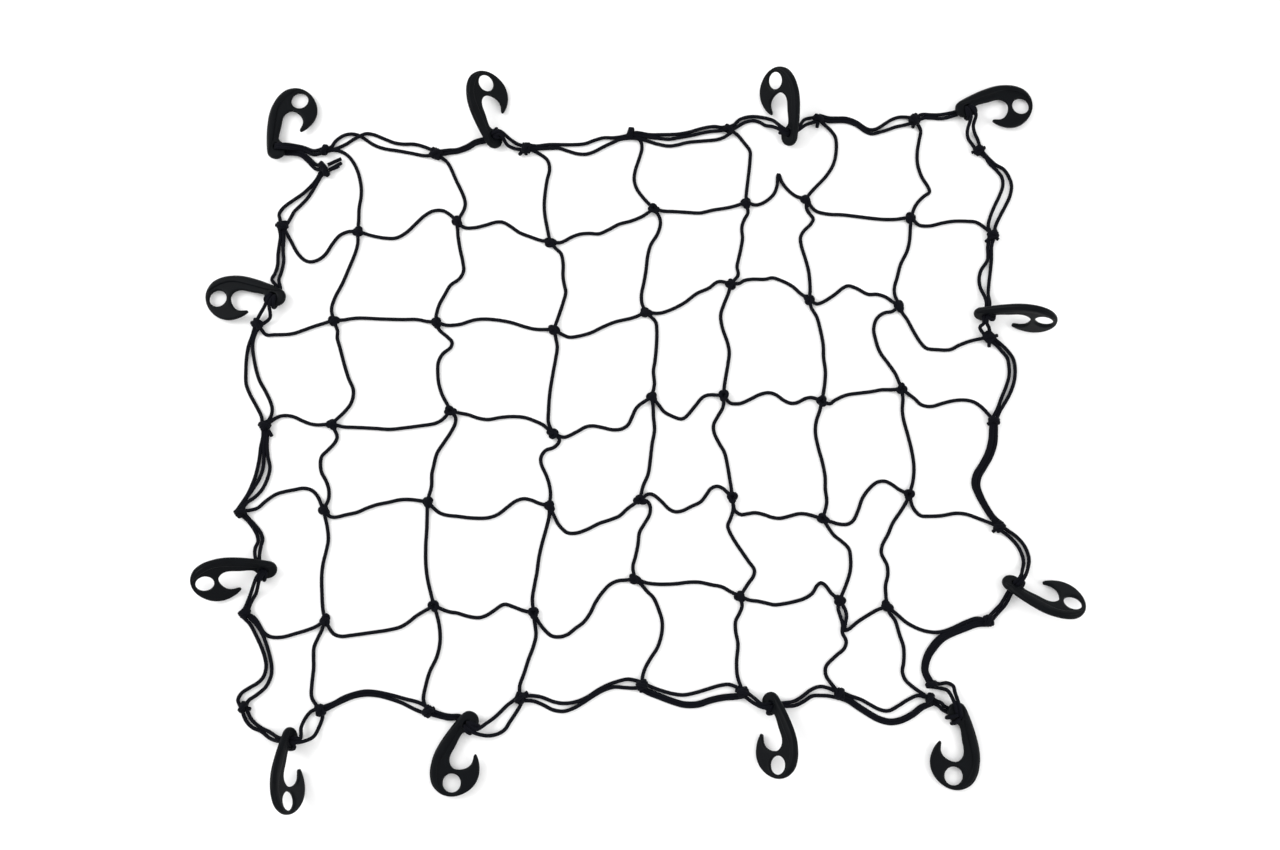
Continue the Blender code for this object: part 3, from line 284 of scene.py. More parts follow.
# border cord: knot, lane there, knot, lane there, points seen between; a lane is counted to the left of the way the
# cord runs, and "h3a" is the passage through the eye of hook 3 in lane a, b is the other lane; a third number is a
# height, as above
BORDER_RUNS = (
    ("t1", -1, "tl", 1, ((-338, 290.2), (-350, 294.3), "h1a", (-352, 288.6), (-343, 282), (-335, 275))),
    ("t1", 1, "tl", -1, ((-338, 286), (-350, 291.2), "h1b", (-352, 285.3), (-344, 278.6), (-335, 270))),
    ("t1", 1, "t2", -1, ((-321, 294), (-316, 301), (-309, 306.5), (-303, 308.5), (-297, 308.5), (-290, 306),
                         (-283, 301), (-275, 296), (-265, 292.5), (-250, 290), (-237, 287.5), (-225, 285))),
    ("t1", -1, "t2", 1, ((-314, 293), (-305, 297.5), (-297, 303), (-291, 306.5, 4.7), (-285, 309), (-277, 308),
                         (-265, 303), (-255, 299), (-245, 297.5), (-235, 297.5), (-225, 295))),
    ("t2", 1, "t3", 1, ((-198, 291), (-190, 291.5), (-180, 295.5), (-171, 301), "h2a", (-135, 303), (-127, 297.5))),
    ("t2", -1, "t3", -1, ((-198, 287.5), (-189, 288.8), (-178, 292.8), (-170, 298), "h2b", (-138, 297), (-131, 293))),
    ("t3", 2, "t4", -1, ((-107, 295.5), (-95, 297), (-80, 297), (-68, 297), (-57, 298), (-48, 301.5), (-38, 304.5),
                        (-28, 304.5), (-20, 305.5))),
    ("t3", 0, "t4", -3, ((-105, 292.5), (-92, 293), (-84, 293), (-75, 290), (-65, 287), (-56, 286.5), (-48, 289),
                         (-38, 294.5), (-28, 299.5), (-20, 303))),
    ("t4", 0, "t5", 2, ((-1, 310), (10, 308), (22, 308), (38, 308.5), (50, 310.5), (65, 315), (77, 317), (86, 316))),
    ("t4", -1, "t5", 0, ((0, 306.5), (10, 305), (20, 304), (30, 303), (42, 305), (55, 307.5), (70, 311), (84, 312.5))),
    ("t4", -3, "t5", -2, ((-1, 303.5), (8, 301), (17, 298), (30, 295.5), (38, 296.5), (50, 299.5), (65, 301),
                          (80, 302.5), (88, 305.5))),
    ("t5", 1, "t6", 1, ((98, 319), (103, 324), (110, 327), (118, 328), (130, 326.5), (138, 324), "h3a", (172, 325))),
    ("t5", -1, "t6", -1, ((101, 316.5), (108, 321), (117, 323.5), (124, 322), (131, 318), (138, 317), "h3b",
                          (173, 319))),
    ("t6", 2, "t7", 1, ((197, 326.5), (205, 326.3), (215, 326), (225, 322.2), (235, 315), (241, 313.3), (247, 314.8),
                        (255, 320), (263, 325), (272, 327.5))),
    ("t6", 0, "t7", -1, ((197, 322.5), (205, 322.6), (215, 322.2), (225, 318.4), (235, 311), (241, 309),
                         (250, 311), (258, 313.5), (266, 316.5), (275, 318.5))),
    ("t7", 1, "tr", 1, ((294, 330.3), (303, 330), (312, 330), "h4a", (347, 318), (348, 310), (351, 302))),
    ("t7", -1, "tr", -1, ((296, 326.5), (305, 326.3), (315, 325.8), "h4b", (340.5, 312), (341, 304), (345, 297))),
    ("tr", -1, "r1", -1, ((358, 283), (362, 276), (369, 268.5), (374, 261), (374.5, 252), (370, 240), (364, 228),
                          (359.5, 217), (357.5, 209))),
    ("tr", 1, "r1", 1, ((361, 282), (368, 275), (376, 270), (381, 262), (383.5, 252), (381, 240), (375, 228),
                        (369, 217), (364.5, 207))),
    ("r1", -1, "r2", -1, ((356, 187), (355, 172), (348, 161), (345.5, 152), (346.5, 142), (350, 134), "h7b",
                          (344, 101))),
    ("r1", 1, "r2", 1, ((360, 187), (359, 172), (357, 158), (355, 145), (354, 135), "h7a", (353, 101))),
    ("r2", -1, "r3", -1, ((360, 82), (364, 77), (370, 69), (371.5, 60), (371, 50), (367, 38), (362, 27), (358, 17))),
    ("r2", 1, "r3", 1, ((364.5, 83), (371, 76), (376, 68), (377.5, 58), (376, 45), (371, 32), (364.5, 21),
                        (359.5, 13))),
    ("r3", -1, "r4", 0, ((350, -5), (349, -14), (345, -28), (339, -39), (332, -50), (330, -60), (333, -70), (338, -80),
                         (345, -92))),
    ("r3", 1, "r4", 2, ((355.5, -6), (354, -20), (349, -33), (343, -43), (337, -53), (335.5, -62), (338, -71),
                        (343, -82), (349, -92))),
    ("r4", -1, "r5", -1, ((358, -108), (366, -115), (373, -125), (376, -136), (374.5, -145), "h8b", (352, -178),
                          (344, -186))),
    ("r4", 1, "r5", 1, ((362, -106), (370, -112), (378, -122), (381.5, -134), (380, -143), "h8a", (356, -179),
                        (348, -187.5))),
    ("r5", 0, "br", -1, ((328, -195), (318, -199), (305, -204), (292, -209), (283, -217.5), (276, -229),
                         (273.5, -242))),
    ("r5", 2, "br", 1, ((328, -199), (318, -202.5), (305, -207.5), (295, -212.5), (286.5, -221), (279.8, -231),
                        (277.2, -243))),
    ("br", 1, "f7", 1, ((289, -255), (296, -254), (302, -257), (303.5, -263), "h12a", (288, -276.5), (284, -274))),
    ("br", -1, "f7", -1, ((289, -259), (296, -261), "h12b", (290, -273), (285, -271))),
    ("f7", 0, "f6", -1, ((268, -266), (258, -270), (248, -276), (239, -280.5), (231, -279.5), (222, -275), (213, -270),
                         (203, -266.5))),
    ("f7", 2, "f6", 1, ((270, -276), (262, -282), (250, -288), (240, -289.5), (230, -287), (220, -281.5), (210, -275),
                        (201, -269))),
    ("f6", 0, "f5", -1, ((183, -259.5), (174, -257.5), (165, -260.5), (156, -267), (148, -271.5), "h11b",
                         (110, -268.5))),
    ("f6", 2, "f5", 1, ((182, -266.5), (173, -266), (166, -266.5), (157, -272), (149, -275.5), "h11a",
                        (110, -273.5))),
    ("f5", -1, "f4", -1, ((93, -258), (86, -255.5), (77, -256.5), (65, -260), (53, -263.5), (42, -265.5), (30, -264),
                          (18, -260.5), (10, -257.5))),
    ("f5", 1, "f4", 1, ((92, -265.5), (80, -266.5), (68, -269), (55, -273), (42, -273), (30, -269.5), (18, -265),
                        (9, -261.5))),
    ("f4", -1, "f3", -1, ((-5, -251.5), (-12, -250.5), (-21, -252.5), (-30, -255.5), (-40, -260.5), (-50, -267),
                          (-60, -271.5), (-72, -273.5), (-83, -272), (-92, -268.5), (-100, -266.5))),
    ("f4", 1, "f3", 1, ((-6, -259), (-15, -258.5), (-25, -258), (-35, -261), (-45, -266.5), (-55, -273), (-65, -278.5),
                        (-74, -281), (-84, -279.5), (-93, -275), (-102, -271.5))),
    ("f3", -1, "f2", -1, ((-122, -271), (-128, -275.5), (-134, -281.5), (-140, -287), (-147, -292), "h10b",
                          (-182, -285), (-190, -283.5))),
    ("f3", 1, "f2", 1, ((-115, -275), (-119, -282), (-125, -291), (-130, -298.5), (-137, -302.5), (-146, -304), "h10a",
                        (-184, -288), (-191, -286.5))),
    ("f2", -1, "f1", -1, ((-208, -275), (-215, -272), (-225, -269.5), (-240, -265.5), (-255, -262.5), (-265, -262),
                          (-275, -264), (-285, -267.5), (-295, -273))),
    ("f2", 1, "f1", 1, ((-212, -281), (-220, -277.5), (-228, -273.5), (-240, -269.3), (-252, -266.2), (-264, -265.4),
                        (-275, -267.2), (-286, -271.5), (-296, -276.5))),
    ("f1", -1, "bl", -1, ((-316, -281), (-321, -287), (-325, -296), "h9b", (-355, -300.5), (-365, -295.5),
                          (-373, -288.5))),
    ("f1", 1, "bl", 1, ((-305, -287), (-308, -296), (-313, -305), "h9a", (-355, -306), (-363, -300), (-372, -296),
                        (-378, -290))),
    ("bl", 1, "l5", 2, ((-387, -270), (-384, -264), (-377, -259), (-368, -253.5), (-363, -247), (-361.5, -238),
                        (-362.5, -232), (-366, -222), (-372, -210), (-379, -198))),
    ("bl", -1, "l5", 0, ((-377, -271), (-370, -266), (-361, -258), (-356.5, -248), (-356, -240), (-358, -230),
                         (-362, -218), (-367, -207), (-374, -197))),
    ("l5", 1, "l4", 1, ((-383, -177), (-380, -168), "h6a", (-378, -124), (-375.5, -117), (-377, -110), (-382, -102),
                        (-388, -95))),
    ("l5", -1, "l4", -1, ((-379.5, -177), (-375, -168), "h6b", (-372.5, -122), (-371, -115), (-373.5, -108),
                          (-380, -100), (-386, -94))),
    ("l4", 2, "l3", 1, ((-394, -80), (-388, -70), (-384, -60), (-381, -50), (-378.5, -35), (-377.5, -22), (-376, -12))),
    ("l4", 1, "l3", 0, ((-392, -78), (-384, -66), (-378, -55.5), (-374.5, -45), (-374, -33), (-374.5, -22),
                        (-374, -12))),
    ("l4", 0, "l3", -1, ((-389, -79), (-381, -73), (-374, -65), (-369, -53), (-367.5, -43), (-370, -32), (-371.5, -20),
                         (-371.5, -12))),
    ("l3", 2, "l2", 1, ((-378, 7), (-384, 19), (-391, 31), (-395.5, 42), (-396.5, 55), (-396.5, 70), (-395, 82),
                        (-392, 92))),
    ("l3", 0, "l2", -1, ((-369, 9), (-368, 15), (-370, 23), (-375.5, 34), (-382, 45), (-386, 56), (-389, 68),
                         (-391, 80), (-390, 91))),
    ("l2", 1, "l1", 2, ((-386, 113), (-382, 121), "h5a", (-375, 151), (-372, 158), (-370, 166), (-370, 178),
                        (-369, 190), (-368.5, 198))),
    ("l2", -1, "l1", 0, ((-381, 105), (-375, 111), "h5b", (-368, 151), (-366, 158), (-364, 170), (-365, 182),
                         (-365, 195))),
    ("l1", 1, "tl", 0, ((-370, 216), (-371, 221), (-367, 228), (-358, 235.5), (-348, 243), (-340, 251), (-334, 259))),
    ("l1", -1, "tl", -2, ((-361, 213), (-358, 219), (-355.5, 224), (-349, 231), (-343, 238), (-338, 246), (-334, 254),
                          (-330, 262))),
)
# strands that lie beside one in BORDER_RUNS: its first knot and lane, how far to its left, and their own two lanes
SECOND_STRANDS = (
    ("r5", 0, 2.1, 1, 0), ("f7", 2, 2.9, 3, 2), ("f5", 1, 2.9, 2, 2), ("r3", -1, 2.4, 0, 1),
)
# cut end of a cord: knot, x and y where the end shows
CUT_ENDS = (
    ("tl", -309.0, 281.0), ("tied", -308.5, 276.5), ("tied", -311.0, 273.0), ("t3", -125.5, 285.0),
    ("t3", -118.0, 284.8), ("t2", -202.5, 279.5), ("t6", 184.0, 315.0), ("t7", 287.5, 331.0),
    ("t7", 283.5, 314.5), ("tr", 358.0, 293.5), ("tr", 343.5, 287.5), ("r1", 367.0, 193.0), ("r1", 353.5, 190.5),
    ("r2", 361.5, 92.0), ("r2", 352.0, 79.5), ("r3", 346.5, 0.0), ("r3", 359.0, 1.0), ("r4", 346.5, -108.0),
    ("f3", -108.0, -262.5), ("f2", -197.0, -277.5), ("bl", -373.5, -279.0), ("l3", -366.5, -12.0),
    ("l3", -381.0, 0.0), ("l1", -374.0, 209.0), ("l2", -394.0, 105.5), ("f4", 1.0, -263.5), ("f5", 91.5, -261.0),
)

# ---------------------------------------------------------------- hooks
# own axes: x from the spine to the mouth, y from the eye to the head, z through the plate; the eye is at 0, 0
WEB_HALF = 2.2
RIB_HALF = 3.7
BOSS_HALF = 3.0
EDGE_ROUND = 1.5
RIB_ROUND = 1.3
EYE_PLACE = (0.3, 0.6)
EYE_RADII = (2.3, 3.8)
HOLE_PLACE = (21.0, 53.1)
HOLE_RADIUS = 8.8
BOSS_RADII = (9.4, 9.9)
BOSS_PLACE = (0.5, -2.7)
# how far the parting line of the mould stands out round the rim
PARTING_LINE = 0.12
# spacing of the skin's points on the outer edges, round the eye and the boss, and of the grid between them, which
# keeps a gap from the rib's and the boss's edges; a point of an inner loop that is further off its inset than the
# error is left out
RIM_SPACING = 1.3
BOSS_SPACING = 0.9
GRID_SPACING = 2.4
GRID_GAP = 1.6
INSET_ERROR = 0.08
# places of the inner loops on a rounded edge, in degrees round its quarter circle, and the corners of the grid
BEND_ANGLES = (0.0, 22.0, 44.0, 66.0, 90.0)
GRID_FROM = (-12.0, -14.0)
GRID_TO = (41.0, 68.0)

# silhouette of the hook with its boss, from the mouth side of the boss round its end, up the spine and round the head
HOOK_OUTLINE = (
    (2.1, 13.2), (2.3, 9.8), (4.0, 7.2), (7.2, 4.6), (9.3, 0.8), (9.8, -3.6), (8.8, -7.8), (5.6, -11.2), (1.0, -12.6),
    (-3.6, -11.7), (-7.1, -8.8), (-8.7, -4.6), (-9.3, -0.5), (-9.8, 4.0), (-10.2, 9.0), (-10.6, 17.0), (-10.6, 25.5),
    (-10.1, 34.0), (-8.9, 41.2), (-6.8, 47.9), (-1.3, 58.3), (7.3, 65.7), (18.7, 67.3), (28.7, 63.1), (36.0, 54.8),
    (39.9, 43.2), (38.2, 32.3), (31.8, 23.1), (25.7, 18.5), (24.2, 18.0), (23.3, 19.4), (24.6, 23.0), (25.8, 26.2),
    (25.8, 30.0), (24.6, 33.4), (20.2, 38.5), (14.2, 41.3), (8.5, 39.3), (5.2, 34.5), (3.5, 22.5),
)
RIB_OUTLINE = (
    (-7.2, -6.6), (-7.9, -0.5), (-8.4, 5.0), (-8.9, 11.0), (-9.1, 18.0), (-9.1, 26.0), (-8.7, 34.0), (-7.5, 41.0),
    (-5.5, 47.2), (0.2, 57.2), (8.4, 64.1), (14.0, 65.4), (17.6, 65.2), (14.2, 62.6), (9.0, 58.6), (4.4, 53.6),
    (1.2, 48.2), (-0.8, 41.5), (-1.6, 34.0), (-2.4, 22.0), (-2.9, 11.0), (-3.8, 4.0), (-4.7, -1.5), (-5.9, -7.0),
)
# hook: x, y of the eye, way the shank points in degrees, side of the mouth (1 right, -1 left), roll in degrees, height
# of the eye, and how far the cords have slid towards the head: over the hook, and under it
HOOKS = {
    1: (-376.3, 291.5, 89.3, 1, 0.4, 7.6, -1.0, -3.4),
    2: (-153.0, 302.9, 116.1, 1, 27.5, 8.6, 0.0, 0.0),
    3: (155.0, 305.6, 88.7, -1, 40.3, 10.7, 4.5, 5.0),
    4: (339.5, 335.6, 24.3, 1, 0.0, 8.0, 0.0, 0.0),
    5: (-370.7, 132.4, 160.9, -1, -3.0, 7.6, 0.0, 0.0),
    6: (-366.0, -145.0, 178.4, -1, 38.0, 10.6, 5.0, 5.5),
    7: (348.4, 112.3, -5.5, 1, 74.0, 12.2, -1.0, 1.0),
    8: (363.8, -160.6, -36.9, -1, 32.9, 9.7, 2.4, -1.0),
    9: (-333.6, -307.7, -96.9, -1, 60.0, 13.5, -1.0, 0.0),
    10: (-165.7, -292.4, -125.0, -1, -3.1, 7.6, 0.0, 0.0),
    11: (126.7, -274.6, -68.8, 1, 35.5, 10.6, -1.0, 1.5),
    12: (304.9, -284.8, -75.0, 1, 0.0, 7.6, 0.0, 0.0),
}
# pitches that are tried for a hook's rest, in radians
PITCHES = np.radians(np.arange(-15.0, 60.0, 0.1))
# passages of a cord through an eye, in the hook's own axes: x, z, and for the two corner hooks x, y, z; a hook rolled
# further than the limit has a straight one, at its own roll or at the least slope
LEAN_LIMIT = 20.0
LEAST_SLOPE = 62.0
STRAIGHT_REACH = 10.0
BENT_PASSAGE = (
    (11.0, 5.2), (6.4, 5.2), (3.2, 4.0), (0.8, 1.4), (-0.8, -1.4), (-3.2, -4.0), (-6.4, -5.2), (-11.0, -5.2),
)
# at these hooks the cord comes back out at the side where it went in
TURNED_HOOKS = (1,)
TURNED_PASSAGE = (
    (12.0, 5.2), (6.6, 5.2), (2.4, 4.4), (-0.3, 1.8), (-0.3, -1.8), (2.4, -4.4), (6.6, -5.2), (12.0, -5.2),
)
CORNER_PASSAGES = {
    "4a": ((12.0, 2.6, 5.2), (6.6, 2.2, 5.2), (3.2, 1.9, 4.0), (0.8, 1.8, 1.4), (-0.4, 1.6, -1.6), (-1.6, -0.6, -4.2),
           (-2.2, -5.0, -5.4), (-2.4, -13.0, -5.6)),
    "4b": ((12.0, -3.2, 5.2), (6.6, -2.4, 5.2), (3.2, -1.9, 4.0), (0.8, -1.8, 1.4), (0.5, -2.2, -1.6),
           (1.2, -4.0, -4.2), (1.3, -7.5, -5.4), (1.2, -13.0, -5.6)),
    "12a": ((12.0, -9.0, -5.2), (7.6, -5.0, -5.2), (3.6, -1.0, -4.2), (0.8, 1.4, -1.4), (-0.4, 1.6, 1.6),
            (-1.6, -0.6, 4.2), (-2.2, -5.0, 5.4), (-2.4, -13.0, 5.6)),
    "12b": ((9.6, -12.0, -5.2), (5.4, -8.0, -5.2), (2.4, -3.6, -4.2), (0.9, -1.4, -1.4), (0.6, -2.0, 1.6),
            (1.2, -4.0, 4.2), (1.3, -7.5, 5.4), (1.2, -13.0, 5.6)),
}
# a turn of cord round the boss: how far above and below the hook's middle it lies, how far from the eye's middle it
# may pass, and how far out from there it begins to draw in
TURN_HIGH = 4.7
TURN_IN_EYE = 1.9
TURN_NARROWS = 5.0
# the turns: hook, how far towards the head, how far out from the eye
ROUND_TURNS = (
    (1, -0.4, 11.4), (2, 5.0, 7.8), (2, -4.9, 11.4), (3, -0.2, 11.2), (4, 5.0, 8.8), (4, -4.9, 11.4), (5, -4.9, 11.4),
    (5, 5.0, 7.8), (6, 1.2, 10.8), (6, -2.2, 11.5), (7, 5.0, 7.6), (7, -4.9, 11.2), (8, 5.0, 7.6), (9, 5.0, 7.6),
    (9, -4.9, 11.2), (10, 5.0, 8.0), (10, -4.9, 11.4), (11, 5.0, 7.6), (12, 5.0, 8.2), (12, -1.4, 11.4),
)

# ---------------------------------------------------------------- finishes and stage
# the cord's yarn colour with painted shade where it dips between the yarns, and with a painted highlight on the yarns'
# crowns
CORD_SHADED_DIP = "#020204"
CORD_LIT_CROWN = "#0e0f15"
HOOK_COLOUR = "#05070a"
FLOOR_COLOUR = "#fafafa"
# yarns each way round the cord, and how many of them one circumference along it crosses
YARNS_ROUND = 8.0
YARNS_ALONG = 6.0
# radius and sides of the floor, and how far it lies under the net, in metres
FLOOR_RADIUS = 6.0
FLOOR_SIDES = 96
FLOOR_DROP = 0.0002
SKY_STRENGTH = 1.0
LAMP_POWER = 48.0
# lamp: its place and size in metres, and its share of the power
LAMPS = (("soft lamp", (-2.3, 0.9, 1.9), 1.5, 1.0), ("fill lamp", (2.3, -0.7, 1.9), 1.6, 0.6))


# ---------------------------------------------------------------- settings
def linear_rgb(code):
    """sRGB hex code as the linear values that a shader takes."""
    values = np.array([int(code[i:i + 2], 16) for i in (1, 3, 5)]) / 255.0
    return tuple(float(v) for v in np.where(values <= 0.04045, values / 12.92, ((values + 0.055) / 1.055) ** 2.4))


class CordSettings(bpy.types.PropertyGroup):
    """Sizes and colours of the elastic cord."""
    diameter: bpy.props.FloatProperty(
        name="Diameter", description="Thickness of the sheathed cord", default=CORD_DIAMETER * MM, min=0.001,
        unit="LENGTH", precision=4)
    ring_spacing: bpy.props.FloatProperty(
        name="Ring spacing", description="Distance between the rings of the cord's skin", default=RING_SPACING * MM,
        min=0.0005, unit="LENGTH", precision=4)
    # dark end of the yarn's colour: painted shade in the dips between the yarns
    dark: bpy.props.FloatVectorProperty(
        name="Painted shade in the dips", description="Yarn colour darkened by painted shade where it dips", subtype="COLOR", size=3,
        min=0.0, max=1.0, default=linear_rgb(CORD_SHADED_DIP))
    # light end of the yarn's colour: a painted highlight on the yarns' crowns
    light: bpy.props.FloatVectorProperty(
        name="Painted highlight on top", description="Yarn colour lightened by painted highlight where it lies uppermost", subtype="COLOR",
        size=3, min=0.0, max=1.0, default=linear_rgb(CORD_LIT_CROWN))


class HookSettings(bpy.types.PropertyGroup):
    """Size and colour of the moulded hooks."""
    edge_round: bpy.props.FloatProperty(
        name="Edge rounding", description="Radius of the moulding's outer edges", default=EDGE_ROUND * MM,
        min=0.0002, max=0.002, unit="LENGTH", precision=4)
    colour: bpy.props.FloatVectorProperty(
        name="Plastic", description="Colour of the moulded plastic", subtype="COLOR", size=3, min=0.0, max=1.0,
        default=linear_rgb(HOOK_COLOUR))


class StageSettings(bpy.types.PropertyGroup):
    """Floor and light."""
    floor: bpy.props.FloatVectorProperty(
        name="Floor", description="Colour of the floor", subtype="COLOR", size=3, min=0.0, max=1.0,
        default=linear_rgb(FLOOR_COLOUR))
    sky: bpy.props.FloatProperty(
        name="Surrounding light", description="Strength of the even light from all round",
        default=SKY_STRENGTH, min=0.0)
    lamp: bpy.props.FloatProperty(
        name="Soft lamp", description="Power of the larger lamp beside the net", default=LAMP_POWER, min=0.0,
        unit="POWER")


# ---------------------------------------------------------------- curves and skins, in millimetres
def smooth_curve(points, spacing):
    """Centripetal Catmull-Rom curve through the points, then points at an even spacing along it.

    Between two neighbours the curve is the usual blend of blends, with each span's parameter as long as the square
    root of the distance between its ends, which keeps tight bends free of loops.
    """
    points = np.asarray(points, float)
    ends = np.vstack((2 * points[0] - points[1], points, 2 * points[-1] - points[-2]))
    p0, p1, p2, p3 = (ends[i:len(ends) - 3 + i, None] for i in range(4))
    t1 = np.linalg.norm(p1 - p0, axis=2, keepdims=True) ** 0.5
    t2 = t1 + np.linalg.norm(p2 - p1, axis=2, keepdims=True) ** 0.5
    t3 = t2 + np.linalg.norm(p3 - p2, axis=2, keepdims=True) ** 0.5
    t = t1 + (t2 - t1) * np.linspace(0.0, 1.0, CURVE_STEPS)[None, :, None]
    a1 = p0 * (t1 - t) / t1 + p1 * t / t1
    a2 = (p1 * (t2 - t) + p2 * (t - t1)) / (t2 - t1)
    a3 = (p2 * (t3 - t) + p3 * (t - t2)) / (t3 - t2)
    b1 = (a1 * (t2 - t) + a2 * t) / t2
    b2 = (a2 * (t3 - t) + a3 * (t - t1)) / (t3 - t1)
    dense = ((b1 * (t2 - t) + b2 * (t - t1)) / (t2 - t1))
    dense = np.vstack((dense[:, :-1].reshape(-1, dense.shape[2]), points[-1:]))
    return evenly(dense, spacing)


def evenly(dense, spacing):
    """Points at an even spacing along a finely divided line, by linear reading at equal lengths."""
    length = np.concatenate(([0.0], np.cumsum(np.linalg.norm(np.diff(dense, axis=0), axis=1))))
    count = max(3, int(round(length[-1] / spacing)) + 1)
    wanted = np.linspace(0.0, length[-1], count)
    return np.stack([np.interp(wanted, length, dense[:, k]) for k in range(dense.shape[1])], axis=1)


def turn_free_frames(path, closed):
    """Tangent and two across vectors of each ring of a path.

    The across vector is carried from ring to ring by reflecting it in the plane halfway between the two rings and
    then in the plane halfway between their tangents, so it never spins about the path. On a closed path the spin left
    at the end is shared out evenly.
    """
    if closed:
        tangents = np.roll(path, -1, axis=0) - np.roll(path, 1, axis=0)
    else:
        tangents = np.gradient(path, axis=0)
    tangents /= np.linalg.norm(tangents, axis=1, keepdims=True)
    start = np.cross(tangents[0], (0.0, 0.0, 1.0))
    if np.linalg.norm(start) < 0.1:
        start = np.cross(tangents[0], (1.0, 0.0, 0.0))
    across = np.empty_like(path)
    across[0] = start / np.linalg.norm(start)
    steps = np.roll(path, -1, axis=0) - path
    for i in range(len(path) - 1):
        halfway = steps[i]
        moved = across[i] - halfway * (2.0 / (halfway @ halfway)) * (halfway @ across[i])
        carried = tangents[i] - halfway * (2.0 / (halfway @ halfway)) * (halfway @ tangents[i])
        turn = tangents[i + 1] - carried
        size = turn @ turn
        across[i + 1] = moved - turn * (2.0 / size) * (turn @ moved) if size > 1e-12 else moved
    other = np.cross(tangents, across)
    if closed:
        spin = math.atan2(across[-1] @ other[0], across[-1] @ across[0])
        angle = -spin * np.arange(len(path)) / len(path)
        across, other = (across * np.cos(angle)[:, None] + other * np.sin(angle)[:, None],
                         other * np.cos(angle)[:, None] - across * np.sin(angle)[:, None])
    return tangents, across, other


def cord_skin(path, sides, radius=RADIUS, closed=False, sealed=False):
    """Skin of a round cord: a circle carried along the path.

    Point (i, k) lies on ring i at the angle 2 pi k / sides, at the cord's radius from the path. A sealed last end
    draws in along a quarter circle of the cut's rounding. The first map coordinate runs once round the cord and the
    second counts the cord's circumferences along it.
    """
    length = np.concatenate(([0.0], np.cumsum(np.linalg.norm(np.diff(path, axis=0), axis=1))))
    tangents, across, other = turn_free_frames(path, closed)
    size = np.full(len(path), radius)
    if sealed:
        short = np.clip(CUT_ROUND - (length[-1] - length), 0.0, CUT_ROUND)
        size += np.sqrt(CUT_ROUND ** 2 - short ** 2) - CUT_ROUND
    angle = 2 * np.pi * np.arange(sides) / sides
    ring = np.cos(angle)[None, :, None] * across[:, None] + np.sin(angle)[None, :, None] * other[:, None]
    vertices = (path[:, None] + ring * size[:, None, None]).reshape(-1, 3)

    rings = len(path)
    i, k = np.meshgrid(np.arange(rings if closed else rings - 1), np.arange(sides), indexing="ij")
    i, k = i.ravel(), k.ravel()
    low, high, beside = i * sides, ((i + 1) % rings) * sides, (k + 1) % sides
    quads = np.stack((low + beside, high + beside, high + k, low + k), axis=1)
    along = np.append(length, length[-1] + np.linalg.norm(path[0] - path[-1])) / (2 * np.pi * radius)
    u0, u1, v0, v1 = k / sides, (k + 1) / sides, along[i], along[i + 1]
    parts = [(quads, np.stack((u1, v0, u1, v1, u0, v1, u0, v0), axis=1).reshape(-1, 4, 2))]
    if not closed:
        middle = rings * sides
        turn = np.arange(sides)
        last = (rings - 1) * sides
        start_fan = np.stack((np.full(sides, middle), (turn + 1) % sides, turn), axis=1)
        end_fan = np.stack((np.full(sides, middle + 1), last + turn, last + (turn + 1) % sides), axis=1)
        vertices = np.vstack((vertices, path[:1], path[-1:]))
        fans = np.vstack((start_fan, end_fan))
        parts.append((fans, np.zeros((len(fans), 3, 2))))
    return vertices, parts


def place(points):
    """Table coordinates in millimetres to the net's frame in metres."""
    return (np.asarray(points, float) - MIDDLE) * MM


def make_piece(name, skins, material, replaced):
    """One mesh object from skins, each the points and then faces with their corners' map coordinates."""
    points, loops, counts, maps = [], [], [], []
    offset = 0
    for vertices, parts in skins:
        points.append(vertices)
        for faces, corners in parts:
            loops.append((faces + offset).ravel())
            counts.append(np.full(len(faces), faces.shape[1]))
            maps.append(corners.reshape(-1, 2))
        offset += len(vertices)
    loops, counts = np.concatenate(loops), np.concatenate(counts)
    mesh = bpy.data.meshes.new(name)
    mesh.vertices.add(offset)
    mesh.vertices.foreach_set("co", place(np.vstack(points)).astype(np.float32).ravel())
    mesh.loops.add(len(loops))
    mesh.loops.foreach_set("vertex_index", loops.astype(np.int32))
    mesh.polygons.add(len(counts))
    mesh.polygons.foreach_set("loop_start", (np.cumsum(counts) - counts).astype(np.int32))
    mesh.update(calc_edges=True)
    mesh.uv_layers.new(name="UVMap").data.foreach_set("uv", np.vstack(maps).astype(np.float32).ravel())
    mesh.shade_smooth()
    mesh.materials.append(material)
    piece = bpy.data.objects.new(name, mesh)
    bpy.context.collection.objects.link(piece)
    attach(piece, "root")
    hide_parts(*replaced)


# ---------------------------------------------------------------- routes of the cords
def knot_place(name):
    """Middle of a knot."""
    x, y = (INNER_KNOTS.get(name) or BORDER_KNOTS.get(name))[:2]
    return np.array((x, y, KNOT_Z))


def lifted(reading, anchors):
    """Point of a cord from where it is seen: on the surface, or as high as a knot or an eye near it pulls it.

    The pull is the anchor's height above a resting cord times the square of the part of its ramp that is left. The
    point is then moved towards the camera's foot in proportion to its height, so that it is still seen in its place.
    """
    height = reading[2] if len(reading) == 3 else RADIUS
    seen = np.array(reading[:2], float)
    for anchor, ramp in anchors:
        reach = math.hypot(*(anchor[:2] - seen))
        height = max(height, RADIUS + (anchor[2] - RADIUS) * max(0.0, 1.0 - reach / ramp) ** 2)
    foot = np.array(CAMERA_PLACE[:2])
    moved = seen + (foot - seen) * (height - RADIUS) / CAMERA_PLACE[2]
    return np.array((moved[0], moved[1], height))


def in_lane(knot, towards, lane, ahead):
    """Where a strand ends in its knot: so far ahead of the knot's middle, and to the left by its lane."""
    along = np.array((towards[0], towards[1], 0.0))
    along /= np.linalg.norm(along)
    left = np.array((-along[1], along[0], 0.0))
    return knot + along * ahead + left * (lane * KNOT_LANE)


